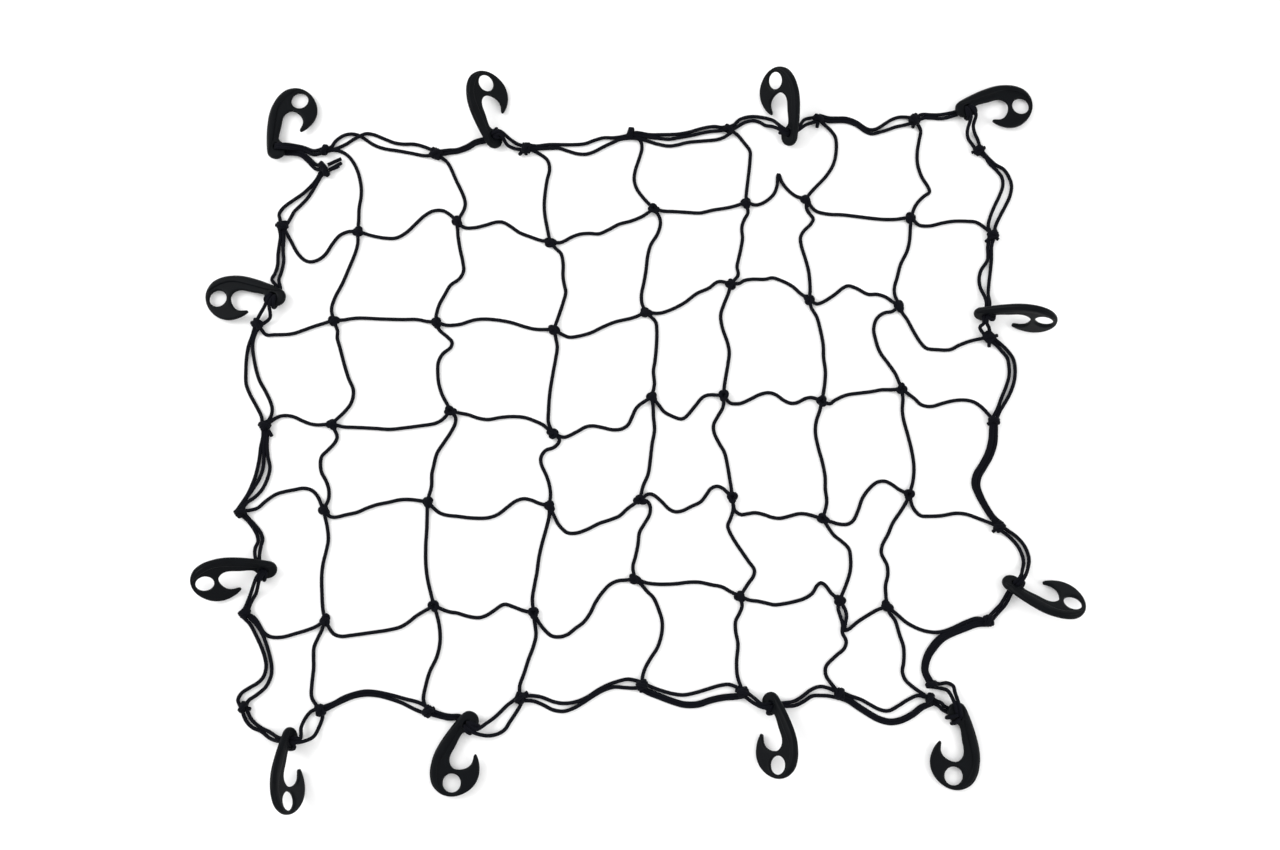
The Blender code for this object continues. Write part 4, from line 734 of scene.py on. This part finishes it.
def hook_axes(number, pitches):
    """Own axes of a hook as rows, for one pitch or many: the spine is rolled up and the head lifted by the pitch."""
    heading, side, roll = HOOKS[number][2:5]
    turn = math.radians(heading)
    pitches = np.asarray(pitches, float)[..., None]
    forward = np.array((math.cos(turn), math.sin(turn), 0.0))
    sideways = np.array((math.sin(turn), -math.cos(turn), 0.0)) * side
    upward = np.array((0.0, 0.0, 1.0))
    y_axis = forward * np.cos(pitches) + upward * np.sin(pitches)
    z_level = upward * np.cos(pitches) - forward * np.sin(pitches)
    x_axis = sideways * math.cos(math.radians(roll)) - z_level * math.sin(math.radians(roll))
    return np.stack((x_axis, y_axis, np.cross(x_axis, y_axis)), axis=-2)


def resting_hook(number, points):
    """Axes and place of a hook whose head is lifted just enough for all its points to lie on or above the surface."""
    origin = np.array((HOOKS[number][0], HOOKS[number][1], HOOKS[number][5]))
    axes = hook_axes(number, PITCHES)
    lowest = (points @ axes[:, :, 2].T).min(axis=0) + origin[2]
    if lowest.max() < 0.0:
        raise ValueError("hook %d finds no rest: its eye is too low for its roll" % number)
    return axes[np.argmax(lowest >= 0.0)], origin


def eye_passage(token, hooks):
    """Points of a cord through a hook's eye: its passage, moved along the hook by its lane and its slide."""
    number, lane = int(token[1:-1]), token[-1]
    side, roll, _, over, under = HOOKS[number][3:]
    axes, origin = hooks[number]
    if token[1:] in CORNER_PASSAGES:
        points = np.array(CORNER_PASSAGES[token[1:]])
    else:
        if number in TURNED_HOOKS:
            profile = np.array(TURNED_PASSAGE)
        elif roll < LEAN_LIMIT:
            profile = np.array(BENT_PASSAGE)
        else:
            slope = math.radians(max(roll, LEAST_SLOPE))
            reach = np.array((STRAIGHT_REACH, 0.0, -STRAIGHT_REACH))
            profile = np.stack((reach * math.cos(slope), reach * math.sin(slope)), axis=1)
        share = profile[:, 1] / np.abs(profile[:, 1]).max()
        slid = np.maximum(share, 0.0) * over + np.maximum(-share, 0.0) * under + (LANE if lane == "a" else -LANE)
        points = np.stack((profile[:, 0], slid, profile[:, 1]), axis=1)
    points[:, :2] += EYE_PLACE
    points[:, 2] *= side
    return points @ axes + origin


def round_turn(number, ahead, out, hooks):
    """Closed line of one turn of cord: through the eye, over the boss's face, round its rim and back under it.

    It crosses the rim as far out from the eye and as far ahead towards the head as told, and the eye near its middle.
    """
    profile = np.array(((0.0, 0.0), (0.8, 3.0), (2.8, TURN_HIGH), (out - 3.2, TURN_HIGH), (out - 0.9, 3.0), (out, 0.0)))
    profile = np.vstack((profile, (profile * (1.0, -1.0))[4:0:-1]))
    inward = np.clip(1.0 - profile[:, 0] / TURN_NARROWS, 0.0, 1.0)
    in_eye = np.clip(ahead, -TURN_IN_EYE, TURN_IN_EYE)
    points = np.stack((profile[:, 0], ahead + (in_eye - ahead) * inward, profile[:, 1]), axis=1)
    points[:, :2] += EYE_PLACE
    axes, origin = hooks[number]
    line = closed_curve(points @ axes + origin, TURN_SPACING)
    line[:, 2] = np.maximum(line[:, 2], RADIUS)
    return line


def route(start, start_lane, end, end_lane, between, hooks, spacing):
    """Line of one strand from knot to knot, from the points where it is seen and the eyes that it runs through."""
    first, last = knot_place(start), knot_place(end)
    passages = {item: eye_passage(item, hooks) for item in between if isinstance(item, str)}
    anchors = [(first, KNOT_RAMP), (last, KNOT_RAMP)]
    for passage in passages.values():
        anchors += [(passage[0], EYE_RAMP), (passage[-1], EYE_RAMP)]
    points = [first]
    for item in between:
        if isinstance(item, str):
            passage = passages[item]
            if np.linalg.norm((passage[0] - points[-1])[:2]) > np.linalg.norm((passage[-1] - points[-1])[:2]):
                passage = passage[::-1]
            points += list(passage)
        else:
            points.append(lifted(item, anchors))
    points[0] = in_lane(first, points[1] - first, start_lane, KNOT_STOP)
    points.append(in_lane(last, last - points[-1], end_lane, -KNOT_STOP))
    path = smooth_curve(points, spacing)
    path[:, 2] = np.maximum(path[:, 2], RADIUS)
    return path


def beside(start, lane, offset, start_lane, end_lane):
    """Row of a strand beside one of the border's: each point is moved square to the line between its neighbours."""
    end, points = next((row[2], row[4]) for row in BORDER_RUNS if row[:2] == (start, lane))
    points = np.array([point[:2] for point in points], float)
    along = np.gradient(points, axis=0)
    left = np.stack((-along[:, 1], along[:, 0]), axis=1) / np.linalg.norm(along, axis=1, keepdims=True)
    return start, start_lane, end, end_lane, tuple(map(tuple, points + offset * left))


def spans_of(cord):
    """The knot-to-knot spans of an inner cord's row."""
    knots = [i for i, item in enumerate(cord) if isinstance(item, str)]
    return [(cord[i], 0, cord[j], 0, cord[i + 1:j]) for i, j in zip(knots, knots[1:])]


# ---------------------------------------------------------------- knots
def turned(points, x, y, turn, height, tip=0.0):
    """Points tipped about their x axis, turned about z, and set down at x, y and height."""
    tip, turn = math.radians(tip), math.radians(turn)
    tipped = points @ np.array(((1, 0, 0), (0, math.cos(tip), math.sin(tip)), (0, -math.sin(tip), math.cos(tip))))
    around = np.array(((math.cos(turn), math.sin(turn), 0), (-math.sin(turn), math.cos(turn), 0), (0, 0, 1)))
    placed = tipped @ around + np.array((x, y, height))
    placed[:, 2] = np.maximum(placed[:, 2], RADIUS + CLEARANCE)
    return placed


def overhand_knot(x, y, turn, stretch):
    """Closed line of a drawn-up overhand knot.

    It goes twice round a ring while it winds three times round the ring's own tube, which gives the three lobes that
    show from above: where it has gone round by 2 t, it is ring + tube cos(3 t + shift) out from the middle and
    tube sin(3 t) high. The long way is stretched along the turn.
    """
    t = 2 * np.pi * np.arange(KNOT_RINGS) / KNOT_RINGS
    out = KNOT_RING + KNOT_TUBE * np.cos(3 * t + LOBE_SHIFT * math.sin(3.0 * x + y))
    line = np.stack((out * np.cos(2 * t) * stretch, out * np.sin(2 * t) / stretch ** 0.5,
                     KNOT_TUBE * np.sin(3 * t)), axis=1)
    return turned(line, x, y, turn, RADIUS + KNOT_LIFT, tip=KNOT_TIP * math.sin(x + 2.0 * y))


def wrapped_knot(x, y, turn, turns):
    """Closed line of a knot of cord wrapped round the border: a coil, and one slanting pass over it back to its start.

    The coil is a helix of even step and height whose width swells along half a sine wave, so that it is fullest in
    its middle. The pass rides above the coil.
    """
    coil = np.linspace(0.0, 1.0, COIL_POINTS * turns + 1)
    angle = 2 * np.pi * (turns * coil) - 0.5 * np.pi
    half = COIL_STEP * turns / 2.0 - COIL_DRAW
    full = COIL_WIDE + COIL_SWELL * np.sin(np.pi * coil)
    line = np.stack((half * (2 * coil - 1), full * np.cos(angle), COIL_HIGH * np.sin(angle)), axis=1)
    back = np.array(COIL_PASS) * (half, 1.0, 1.0)
    path = smooth_curve(np.vstack((line, back, line[:1])), TURN_SPACING)[:-1]
    return turned(path, x, y, turn, RADIUS + COIL_LIFT)


def cut_end(name, x, y):
    """Line of a short cut end, from inside its knot out to where it shows."""
    middle = knot_place(name)
    tip = np.array((x, y, CUT_END_Z))
    return evenly(np.stack((middle + CUT_START * (tip - middle), tip)), END_SPACING)


# ---------------------------------------------------------------- hook moulding
def closed_curve(points, spacing):
    """Smooth closed curve through the points, evenly divided, its last point short of the first."""
    points = np.asarray(points, float)
    looped = np.vstack((points[-3:], points, points[:4]))
    dense = smooth_curve(looped, FINE_SPACING)
    start = np.argmin(np.linalg.norm(dense[:len(dense) // 3] - points[0], axis=1))
    later = len(dense) * 2 // 3
    end = later + np.argmin(np.linalg.norm(dense[later:] - points[0], axis=1))
    return evenly(dense[start:end + 1], spacing)[:-1]


def ellipse(centre, radii, spacing):
    """Ellipse with points at equal angles, about the spacing apart."""
    count = int(round(2 * math.pi * max(radii) / spacing))
    angle = 2 * np.pi * np.arange(count) / count
    return np.stack((centre[0] + radii[0] * np.cos(angle), centre[1] + radii[1] * np.sin(angle)), axis=1)


def outward(loop):
    """Unit normals of a closed loop, pointing to the right of the way it runs."""
    along = np.roll(loop, -1, axis=0) - np.roll(loop, 1, axis=0)
    along /= np.linalg.norm(along, axis=1, keepdims=True)
    return np.stack((along[:, 1], -along[:, 0]), axis=1)


def signed_distance(points, loop):
    """Distance of each point from a closed loop, positive inside it (even-odd rule)."""
    start, end = loop, np.roll(loop, -1, axis=0)
    edge = end - start
    offset = points[:, None] - start[None]
    share = np.clip((offset * edge).sum(2) / (edge ** 2).sum(1), 0.0, 1.0)
    distance = np.linalg.norm(offset - share[..., None] * edge, axis=2).min(axis=1)
    crosses = (start[None, :, 1] > points[:, None, 1]) != (end[None, :, 1] > points[:, None, 1])
    slope = np.where(np.abs(edge[:, 1]) < 1e-9, 1e-9, edge[:, 1])
    at = start[:, 0] + (points[:, None, 1] - start[:, 1]) * edge[:, 0] / slope
    inside = (crosses & (points[:, None, 0] < at)).sum(axis=1) % 2 == 1
    return np.where(inside, distance, -distance)


def rounded_edge(distance, half, radius):
    """Half thickness of a plate at a distance from its edge: a quarter circle of the radius, then level."""
    short = np.clip(radius - distance, 0.0, radius)
    return half - radius + np.sqrt(np.clip(radius ** 2 - short ** 2, 0.0, None))


def hook_moulding(edge_round):
    """Points and faces of the hook's skin in its own axes.

    The skin is a height over the plate's plane. The plate, the rib along the spine and the boss round the eye each
    have a half thickness that rises from their own edge as a quarter circle, and the greatest holds. Loops parallel
    to every edge, close together where the height bends, and a coarse grid between them are joined by a Delaunay
    triangulation; the other side is its mirror image, and a wall with a fine parting line closes the rim.
    """
    outline = closed_curve(HOOK_OUTLINE, RIM_SPACING)
    rib = closed_curve(RIB_OUTLINE, RIM_SPACING)
    eye = ellipse(EYE_PLACE, EYE_RADII, BOSS_SPACING)
    hole = ellipse(HOLE_PLACE, (HOLE_RADIUS, HOLE_RADIUS), RIM_SPACING)
    boss = ellipse(BOSS_PLACE, np.array(BOSS_RADII) - 0.3, BOSS_SPACING)
    rims = [outline, eye, hole]
    bend = 1.0 - np.cos(np.radians(BEND_ANGLES))

    def depth(points):
        """Distance of each point from the nearest edge of the plate, positive in the plastic."""
        return np.minimum.reduce([signed_distance(points, outline), -signed_distance(points, eye),
                                  -signed_distance(points, hole)])

    inner = []
    for loop, way in ((outline, -1), (eye, 1), (hole, 1)):
        sense = way if (loop * np.roll(loop, -1, axis=0)[:, ::-1] * (1, -1)).sum() > 0 else -way
        for inset in edge_round * bend[1:]:
            moved = loop + outward(loop) * inset * sense
            inner.append(moved[np.abs(depth(moved) - inset) < INSET_ERROR])
    for loop, reach in ((rib, RIB_ROUND), (boss, edge_round)):
        sense = 1 if (loop * np.roll(loop, -1, axis=0)[:, ::-1] * (1, -1)).sum() > 0 else -1
        for inset in (-0.5, -0.02, *(reach * bend[1:])):
            moved = loop - outward(loop) * inset * sense
            keep = (np.abs(signed_distance(moved, loop) - inset) < INSET_ERROR) & (depth(moved) > edge_round + 0.05)
            inner.append(moved[keep])
    grid = np.meshgrid(*(np.arange(low, high, GRID_SPACING) for low, high in zip(GRID_FROM, GRID_TO)))
    grid = np.stack(grid, -1).reshape(-1, 2)
    off_rib = np.abs(signed_distance(grid, rib) - 0.5) > GRID_GAP
    off_boss = np.abs(signed_distance(grid, boss) - 0.5) > GRID_GAP
    inner.append(grid[(depth(grid) > edge_round + 0.8) & off_rib & off_boss])

    rim_points = np.vstack(rims)
    starts = np.cumsum([0] + [len(loop) for loop in rims])
    edges = [(start + k, start + (k + 1) % len(loop)) for start, loop in zip(starts, rims) for k in range(len(loop))]
    cloud = np.vstack([rim_points] + inner)
    found, _, faces = delaunay_2d_cdt([tuple(p) for p in cloud], edges, [], 0, 1e-4)[:3]
    flat = np.array([tuple(p) for p in found])
    faces = np.array([tuple(f) for f in faces])
    faces = faces[depth(flat[faces].mean(axis=1)) > 0.0]
    d_all, d_rib, d_boss = depth(flat), signed_distance(flat, rib), signed_distance(flat, boss)
    height = rounded_edge(np.clip(d_all, 0.0, None), WEB_HALF, edge_round)
    ledge = np.where(d_rib > 0.0, rounded_edge(d_rib, RIB_HALF, RIB_ROUND), 0.0)
    raised = np.where(d_boss > 0.0, rounded_edge(d_boss, BOSS_HALF, edge_round), 0.0)
    eye_fall = rounded_edge(np.clip(-signed_distance(flat, eye), 0.0, None), BOSS_HALF, edge_round)
    height = np.maximum(np.maximum(height, ledge), np.minimum(raised, eye_fall))
    return flat, faces, height


def hook_skin(number, moulding, hooks):
    """Both sides and the rim wall of a hook, in its place."""
    flat, faces, height = moulding
    axes, origin = hooks[number]
    count = len(flat)
    top = np.column_stack((flat, height))
    bottom = np.column_stack((flat, -height))
    pairs = np.vstack((faces[:, (0, 1)], faces[:, (1, 2)], faces[:, (2, 0)]))
    key = np.sort(pairs, axis=1) @ np.array((count, 1))
    _, index, times = np.unique(key, return_index=True, return_counts=True)
    rim = pairs[index[times == 1]]
    normal = (flat[rim[:, 1]] - flat[rim[:, 0]])[:, ::-1] * (1, -1)
    normal /= np.linalg.norm(normal, axis=1, keepdims=True)
    push = np.zeros((count, 2))
    np.add.at(push, rim[:, 0], normal)
    np.add.at(push, rim[:, 1], normal)
    push /= np.maximum(np.linalg.norm(push, axis=1, keepdims=True), 1e-9)
    line = np.column_stack((flat + push * PARTING_LINE, np.zeros(count)))
    points = np.vstack((top, bottom, line)) @ axes + origin
    a, b = rim[:, 0], rim[:, 1]
    upper = np.stack((a, a + 2 * count, b + 2 * count, b), axis=1)
    lower = np.stack((a + 2 * count, a + count, b + count, b + 2 * count), axis=1)
    sides = np.vstack((faces, faces[:, ::-1] + count))
    walls = np.vstack((upper, lower))
    return points, [(sides, np.zeros((len(sides), 3, 2))), (walls, np.zeros((len(walls), 4, 2)))]


# ---------------------------------------------------------------- materials
def add_node(tree, kind, inputs=None, **settings):
    """One node: settings are its own properties, inputs its sockets' values or the sockets that feed them."""
    node = tree.nodes.new(kind)
    for name, value in settings.items():
        setattr(node, name, value)
    for key, value in (inputs or {}).items():
        if isinstance(value, bpy.types.NodeSocket):
            tree.links.new(value, node.inputs[key])
        else:
            node.inputs[key].default_value = value
    return node


def new_material(name):
    """New node material, with its tree and its shader."""
    material = bpy.data.materials.new(name)
    material.use_nodes = True
    tree = material.node_tree
    return material, tree, tree.nodes["Principled BSDF"]


def braided_sheath(name, settings):
    """Braided polyester sheath over a rubber core.

    Two sets of flat yarns wind round the cord in opposite senses, each going over one and under one, which gives the
    eye a fine diamond pattern; a painted highlight lightens the yarns' crowns and painted shade darkens the dips.
    """
    material, tree, shader = new_material(name)
    uv = add_node(tree, "ShaderNodeUVMap", uv_map="UVMap").outputs["UV"]
    split = add_node(tree, "ShaderNodeSeparateXYZ", {0: uv})
    round_cord, along_cord = (
        add_node(tree, "ShaderNodeMath", {0: split.outputs[axis], 1: yarns_across}, operation="MULTIPLY").outputs[0]
        for axis, yarns_across in (("X", YARNS_ROUND), ("Y", YARNS_ALONG)))
    yarns = {}
    for way, operation in (("left", "ADD"), ("right", "SUBTRACT")):
        across = add_node(tree, "ShaderNodeMath", {0: round_cord, 1: along_cord}, operation=operation).outputs[0]
        share = add_node(tree, "ShaderNodeMath", {0: across, 1: 0.0, 2: 1.0}, operation="WRAP").outputs[0]
        angle = add_node(tree, "ShaderNodeMath", {0: share, 1: math.pi}, operation="MULTIPLY").outputs[0]
        crown = add_node(tree, "ShaderNodeMath", {0: angle}, operation="SINE").outputs[0]
        cell = add_node(tree, "ShaderNodeMath", {0: across}, operation="FLOOR").outputs[0]
        yarns[way] = (crown, cell)
    (left, left_cell), (right, right_cell) = yarns["left"], yarns["right"]
    cells = add_node(tree, "ShaderNodeMath", {0: left_cell, 1: right_cell}, operation="ADD").outputs[0]
    on_top = add_node(tree, "ShaderNodeMath", {0: cells, 1: 0.0, 2: 2.0}, operation="WRAP").outputs[0]
    crown = add_node(tree, "ShaderNodeMix", {0: on_top, 2: left, 3: right}).outputs[0]
    arch = add_node(tree, "ShaderNodeMath", {0: left, 1: right}, operation="MULTIPLY").outputs[0]
    height = add_node(tree, "ShaderNodeMath", {0: crown, 1: 0.6, 2: arch}, operation="MULTIPLY_ADD").outputs[0]

    # lint and handling lift the black a little in patches of about 15 mm; an average patch adds a quarter to the tone,
    # so the dips between the yarns are darkest, as painted shade, and the light colour, a painted highlight, holds from
    # a height of about 0.6 up
    here = add_node(tree, "ShaderNodeTexCoord").outputs["Object"]
    patches = add_node(tree, "ShaderNodeTexNoise", {"Vector": here, "Scale": 70.0, "Detail": 3.0}).outputs["Fac"]
    tone = add_node(tree, "ShaderNodeMath", {0: patches, 1: 0.5, 2: height}, operation="MULTIPLY_ADD").outputs[0]
    colour = add_node(tree, "ShaderNodeValToRGB", {0: tone})
    # the ramp's dark end is painted shade in the dips and its light end a painted highlight on the crowns
    colour.color_ramp.elements[0].position = 0.25
    colour.color_ramp.elements[0].color = (*settings.dark, 1.0)
    colour.color_ramp.elements[1].position = 1.6 / 1.85
    colour.color_ramp.elements[1].color = (*settings.light, 1.0)
    tree.links.new(colour.outputs["Color"], shader.inputs["Base Color"])
    rough = add_node(tree, "ShaderNodeMapRange", {0: height, 1: 0.0, 2: 1.6, 3: 0.85, 4: 0.62}).outputs[0]
    tree.links.new(rough, shader.inputs["Roughness"])
    bump = add_node(tree, "ShaderNodeBump", {"Height": height, "Strength": 0.7, "Distance": 0.00012})
    tree.links.new(bump.outputs["Normal"], shader.inputs["Normal"])
    shader.inputs["IOR"].default_value = 1.5
    shader.inputs["Specular IOR Level"].default_value = 0.04
    shader.inputs["Sheen Weight"].default_value = 0.01
    shader.inputs["Sheen Roughness"].default_value = 0.5
    return material


def moulded_polypropylene(name, settings):
    """Injection-moulded black polypropylene.

    The mould's fine spark-eroded grain turns the gloss to satin; flow of the melt leaves faint duller patches, and
    rubbing leaves the raised places a little smoother. The grain is drawn at 0.6 mm, coarser than the real one,
    so that it still shows.
    """
    material, tree, shader = new_material(name)
    here = add_node(tree, "ShaderNodeTexCoord").outputs["Object"]
    flow = add_node(tree, "ShaderNodeTexNoise", {"Vector": here, "Scale": 60.0, "Detail": 2.0}).outputs["Fac"]
    grain = add_node(tree, "ShaderNodeTexNoise", {"Vector": here, "Scale": 1700.0, "Detail": 2.0}).outputs["Fac"]
    tone = add_node(tree, "ShaderNodeMath", {0: grain, 1: 0.5, 2: flow}, operation="MULTIPLY_ADD").outputs[0]
    colour = add_node(tree, "ShaderNodeValToRGB", {0: tone})
    colour.color_ramp.elements[0].position = 0.45
    colour.color_ramp.elements[0].color = (*(0.75 * v for v in settings.colour), 1.0)
    colour.color_ramp.elements[1].position = 1.0
    colour.color_ramp.elements[1].color = (*(1.3 * v for v in settings.colour), 1.0)
    tree.links.new(colour.outputs["Color"], shader.inputs["Base Color"])
    rough = add_node(tree, "ShaderNodeMapRange", {0: tone, 1: 0.45, 2: 1.05, 3: 0.36, 4: 0.5}).outputs[0]
    tree.links.new(rough, shader.inputs["Roughness"])
    bump = add_node(tree, "ShaderNodeBump", {"Height": grain, "Strength": 0.25, "Distance": 0.00008})
    tree.links.new(bump.outputs["Normal"], shader.inputs["Normal"])
    shader.inputs["IOR"].default_value = 1.49
    shader.inputs["Specular IOR Level"].default_value = 0.08
    return material


def painted_floor(name, settings):
    """Matt white studio floor: rolled paint, with faint clouds and a slight tooth."""
    material, tree, shader = new_material(name)
    here = add_node(tree, "ShaderNodeTexCoord").outputs["Object"]
    clouds = add_node(tree, "ShaderNodeTexNoise", {"Vector": here, "Scale": 3.0, "Detail": 4.0}).outputs["Fac"]
    colour = add_node(tree, "ShaderNodeValToRGB", {0: clouds})
    colour.color_ramp.elements[0].color = (*(0.97 * v for v in settings.floor), 1.0)
    colour.color_ramp.elements[1].color = (*settings.floor, 1.0)
    tree.links.new(colour.outputs["Color"], shader.inputs["Base Color"])
    shader.inputs["Roughness"].default_value = 0.9
    return material


def shared_material(name, make, settings):
    """The named material, made on first use."""
    return bpy.data.materials.get(name) or make(name, settings)


# ---------------------------------------------------------------- operators
def resting_hooks(edge_round):
    """The hooks' common moulding, and each hook's axes and place."""
    moulding = hook_moulding(edge_round)
    flat, faces, height = moulding
    points = np.vstack((np.column_stack((flat, height)), np.column_stack((flat, -height))))
    return moulding, {number: resting_hook(number, points) for number in HOOKS}


class NET_OT_inner_cords(bpy.types.Operator):
    """Make the seven upright and five level cords inside the border"""
    bl_idname = "net.inner_cords"
    bl_label = "Inner cords"

    def execute(self, context):
        settings = context.scene.net_cord
        radius = settings.diameter / MM / 2.0
        spacing = settings.ring_spacing / MM
        skins = [cord_skin(route(*span, {}, spacing), CORD_SIDES, radius)
                 for cord in UPRIGHT_CORDS + LEVEL_CORDS for span in spans_of(cord)]
        material = shared_material("braided polyester sheath", braided_sheath, settings)
        make_piece("inner_cords", skins, material, ("mesh",))
        return {"FINISHED"}


class NET_OT_inner_knots(bpy.types.Operator):
    """Tie the drawn-up knots where the inner cords cross"""
    bl_idname = "net.inner_knots"
    bl_label = "Inner knots"

    def execute(self, context):
        settings = context.scene.net_cord
        radius = settings.diameter / MM / 2.0
        skins = [cord_skin(overhand_knot(*row), KNOT_SIDES, radius, closed=True) for row in INNER_KNOTS.values()]
        material = shared_material("braided polyester sheath", braided_sheath, settings)
        make_piece("inner_knots", skins, material, ("mesh",))
        return {"FINISHED"}


class NET_OT_border_cords(bpy.types.Operator):
    """Lay the doubled border cord from knot to knot and through the eyes of the hooks"""
    bl_idname = "net.border_cords"
    bl_label = "Border cords"

    def execute(self, context):
        settings = context.scene.net_cord
        radius = settings.diameter / MM / 2.0
        hooks = resting_hooks(context.scene.net_hook.edge_round / MM)[1]
        spacing = settings.ring_spacing / MM
        runs = BORDER_RUNS + tuple(beside(*row) for row in SECOND_STRANDS)
        skins = [cord_skin(route(*run, hooks, spacing), CORD_SIDES, radius) for run in runs]
        skins += [cord_skin(round_turn(*turn, hooks), CORD_SIDES, radius, closed=True) for turn in ROUND_TURNS]
        material = shared_material("braided border sheath", braided_sheath, settings)
        make_piece("border_cords", skins, material, ("border",))
        return {"FINISHED"}


class NET_OT_border_knots(bpy.types.Operator):
    """Wrap the knots that hold the inner cords to the border, with their cut ends"""
    bl_idname = "net.border_knots"
    bl_label = "Border knots"

    def execute(self, context):
        settings = context.scene.net_cord
        radius = settings.diameter / MM / 2.0
        skins = [cord_skin(wrapped_knot(*row), KNOT_SIDES, radius, closed=True) for row in BORDER_KNOTS.values()]
        skins += [cord_skin(cut_end(*row), KNOT_SIDES, radius, sealed=True) for row in CUT_ENDS]
        material = shared_material("braided border sheath", braided_sheath, settings)
        make_piece("border_knots", skins, material, ("border",))
        return {"FINISHED"}


class NET_OT_hooks(bpy.types.Operator):
    """Mould the hooks and rest them on the floor"""
    bl_idname = "net.hooks"
    bl_label = "Hooks"

    def execute(self, context):
        settings = context.scene.net_hook
        moulding, hooks = resting_hooks(settings.edge_round / MM)
        material = shared_material("moulded polypropylene", moulded_polypropylene, settings)
        for number in HOOKS:
            make_piece("moulded_hook_%d" % number, [hook_skin(number, moulding, hooks)], material,
                       ("hook_%d" % number,))
        return {"FINISHED"}


class NET_OT_stage(bpy.types.Operator):
    """Lay the pale floor and set the soft light and the camera"""
    bl_idname = "net.stage"
    bl_label = "Floor, light and camera"

    def execute(self, context):
        settings = context.scene.net_stage
        angle = 2 * np.pi * np.arange(FLOOR_SIDES) / FLOOR_SIDES
        rim = np.column_stack((FLOOR_RADIUS * np.cos(angle), FLOOR_RADIUS * np.sin(angle),
                               np.full(FLOOR_SIDES, -FLOOR_DROP)))
        mesh = bpy.data.meshes.new("floor")
        mesh.from_pydata([tuple(p) for p in rim], [], [tuple(range(FLOOR_SIDES))])
        mesh.materials.append(painted_floor("matt white floor", settings))
        floor = bpy.data.objects.new("floor", mesh)
        context.collection.objects.link(floor)

        world = bpy.data.worlds.new("pale studio")
        world.use_nodes = True
        sky = world.node_tree.nodes["Background"]
        sky.inputs["Color"].default_value = (1.0, 1.0, 1.0, 1.0)
        sky.inputs["Strength"].default_value = settings.sky
        context.scene.world = world
        for name, spot, size, share in LAMPS:
            light = bpy.data.lights.new(name, "AREA")
            light.size = size
            light.energy = settings.lamp * share
            lamp = bpy.data.objects.new(name, light)
            lamp.location = spot
            lamp.rotation_euler = Vector(spot).to_track_quat("Z", "Y").to_euler()
            lamp.visible_camera = False
            context.collection.objects.link(lamp)

        lens = bpy.data.cameras.new("camera")
        lens.lens = CAMERA_LENS
        lens.sensor_width = CAMERA_SENSOR
        lens.clip_start = 0.01
        lens.clip_end = 50.0
        camera = bpy.data.objects.new("camera", lens)
        camera.location = place(CAMERA_PLACE)
        camera.rotation_euler = (CAMERA_TILT, 0.0, 0.0)
        context.collection.objects.link(camera)
        context.scene.camera = camera
        context.scene.view_settings.view_transform = "Standard"
        return {"FINISHED"}


class NET_PT_panel(bpy.types.Panel):
    """Settings and steps of the cargo net"""
    bl_idname = "NET_PT_panel"
    bl_label = "Cargo net"
    bl_space_type = "VIEW_3D"
    bl_region_type = "UI"
    bl_category = "Cargo net"

    def draw(self, context):
        layout = self.layout
        for group in (context.scene.net_cord, context.scene.net_hook, context.scene.net_stage):
            box = layout.box()
            for key in group.__annotations__:
                box.prop(group, key)
        for step in STEPS:
            layout.operator(step.bl_idname)


STEPS = (NET_OT_inner_cords, NET_OT_inner_knots, NET_OT_border_cords, NET_OT_border_knots, NET_OT_hooks, NET_OT_stage)
CLASSES = (CordSettings, HookSettings, StageSettings) + STEPS + (NET_PT_panel,)


def register():
    """Add the classes and the scene's settings."""
    for entry in CLASSES:
        bpy.utils.register_class(entry)
    bpy.types.Scene.net_cord = bpy.props.PointerProperty(type=CordSettings)
    bpy.types.Scene.net_hook = bpy.props.PointerProperty(type=HookSettings)
    bpy.types.Scene.net_stage = bpy.props.PointerProperty(type=StageSettings)


def unregister():
    """Take the scene's settings and the classes away again."""
    del bpy.types.Scene.net_stage
    del bpy.types.Scene.net_hook
    del bpy.types.Scene.net_cord
    for entry in reversed(CLASSES):
        bpy.utils.unregister_class(entry)


def main():
    """Make the whole scene."""
    register()
    bpy.ops.net.inner_cords()
    bpy.ops.net.inner_knots()
    bpy.ops.net.border_cords()
    bpy.ops.net.border_knots()
    bpy.ops.net.hooks()
    bpy.ops.net.stage()


if __name__ == "__main__":
    main()
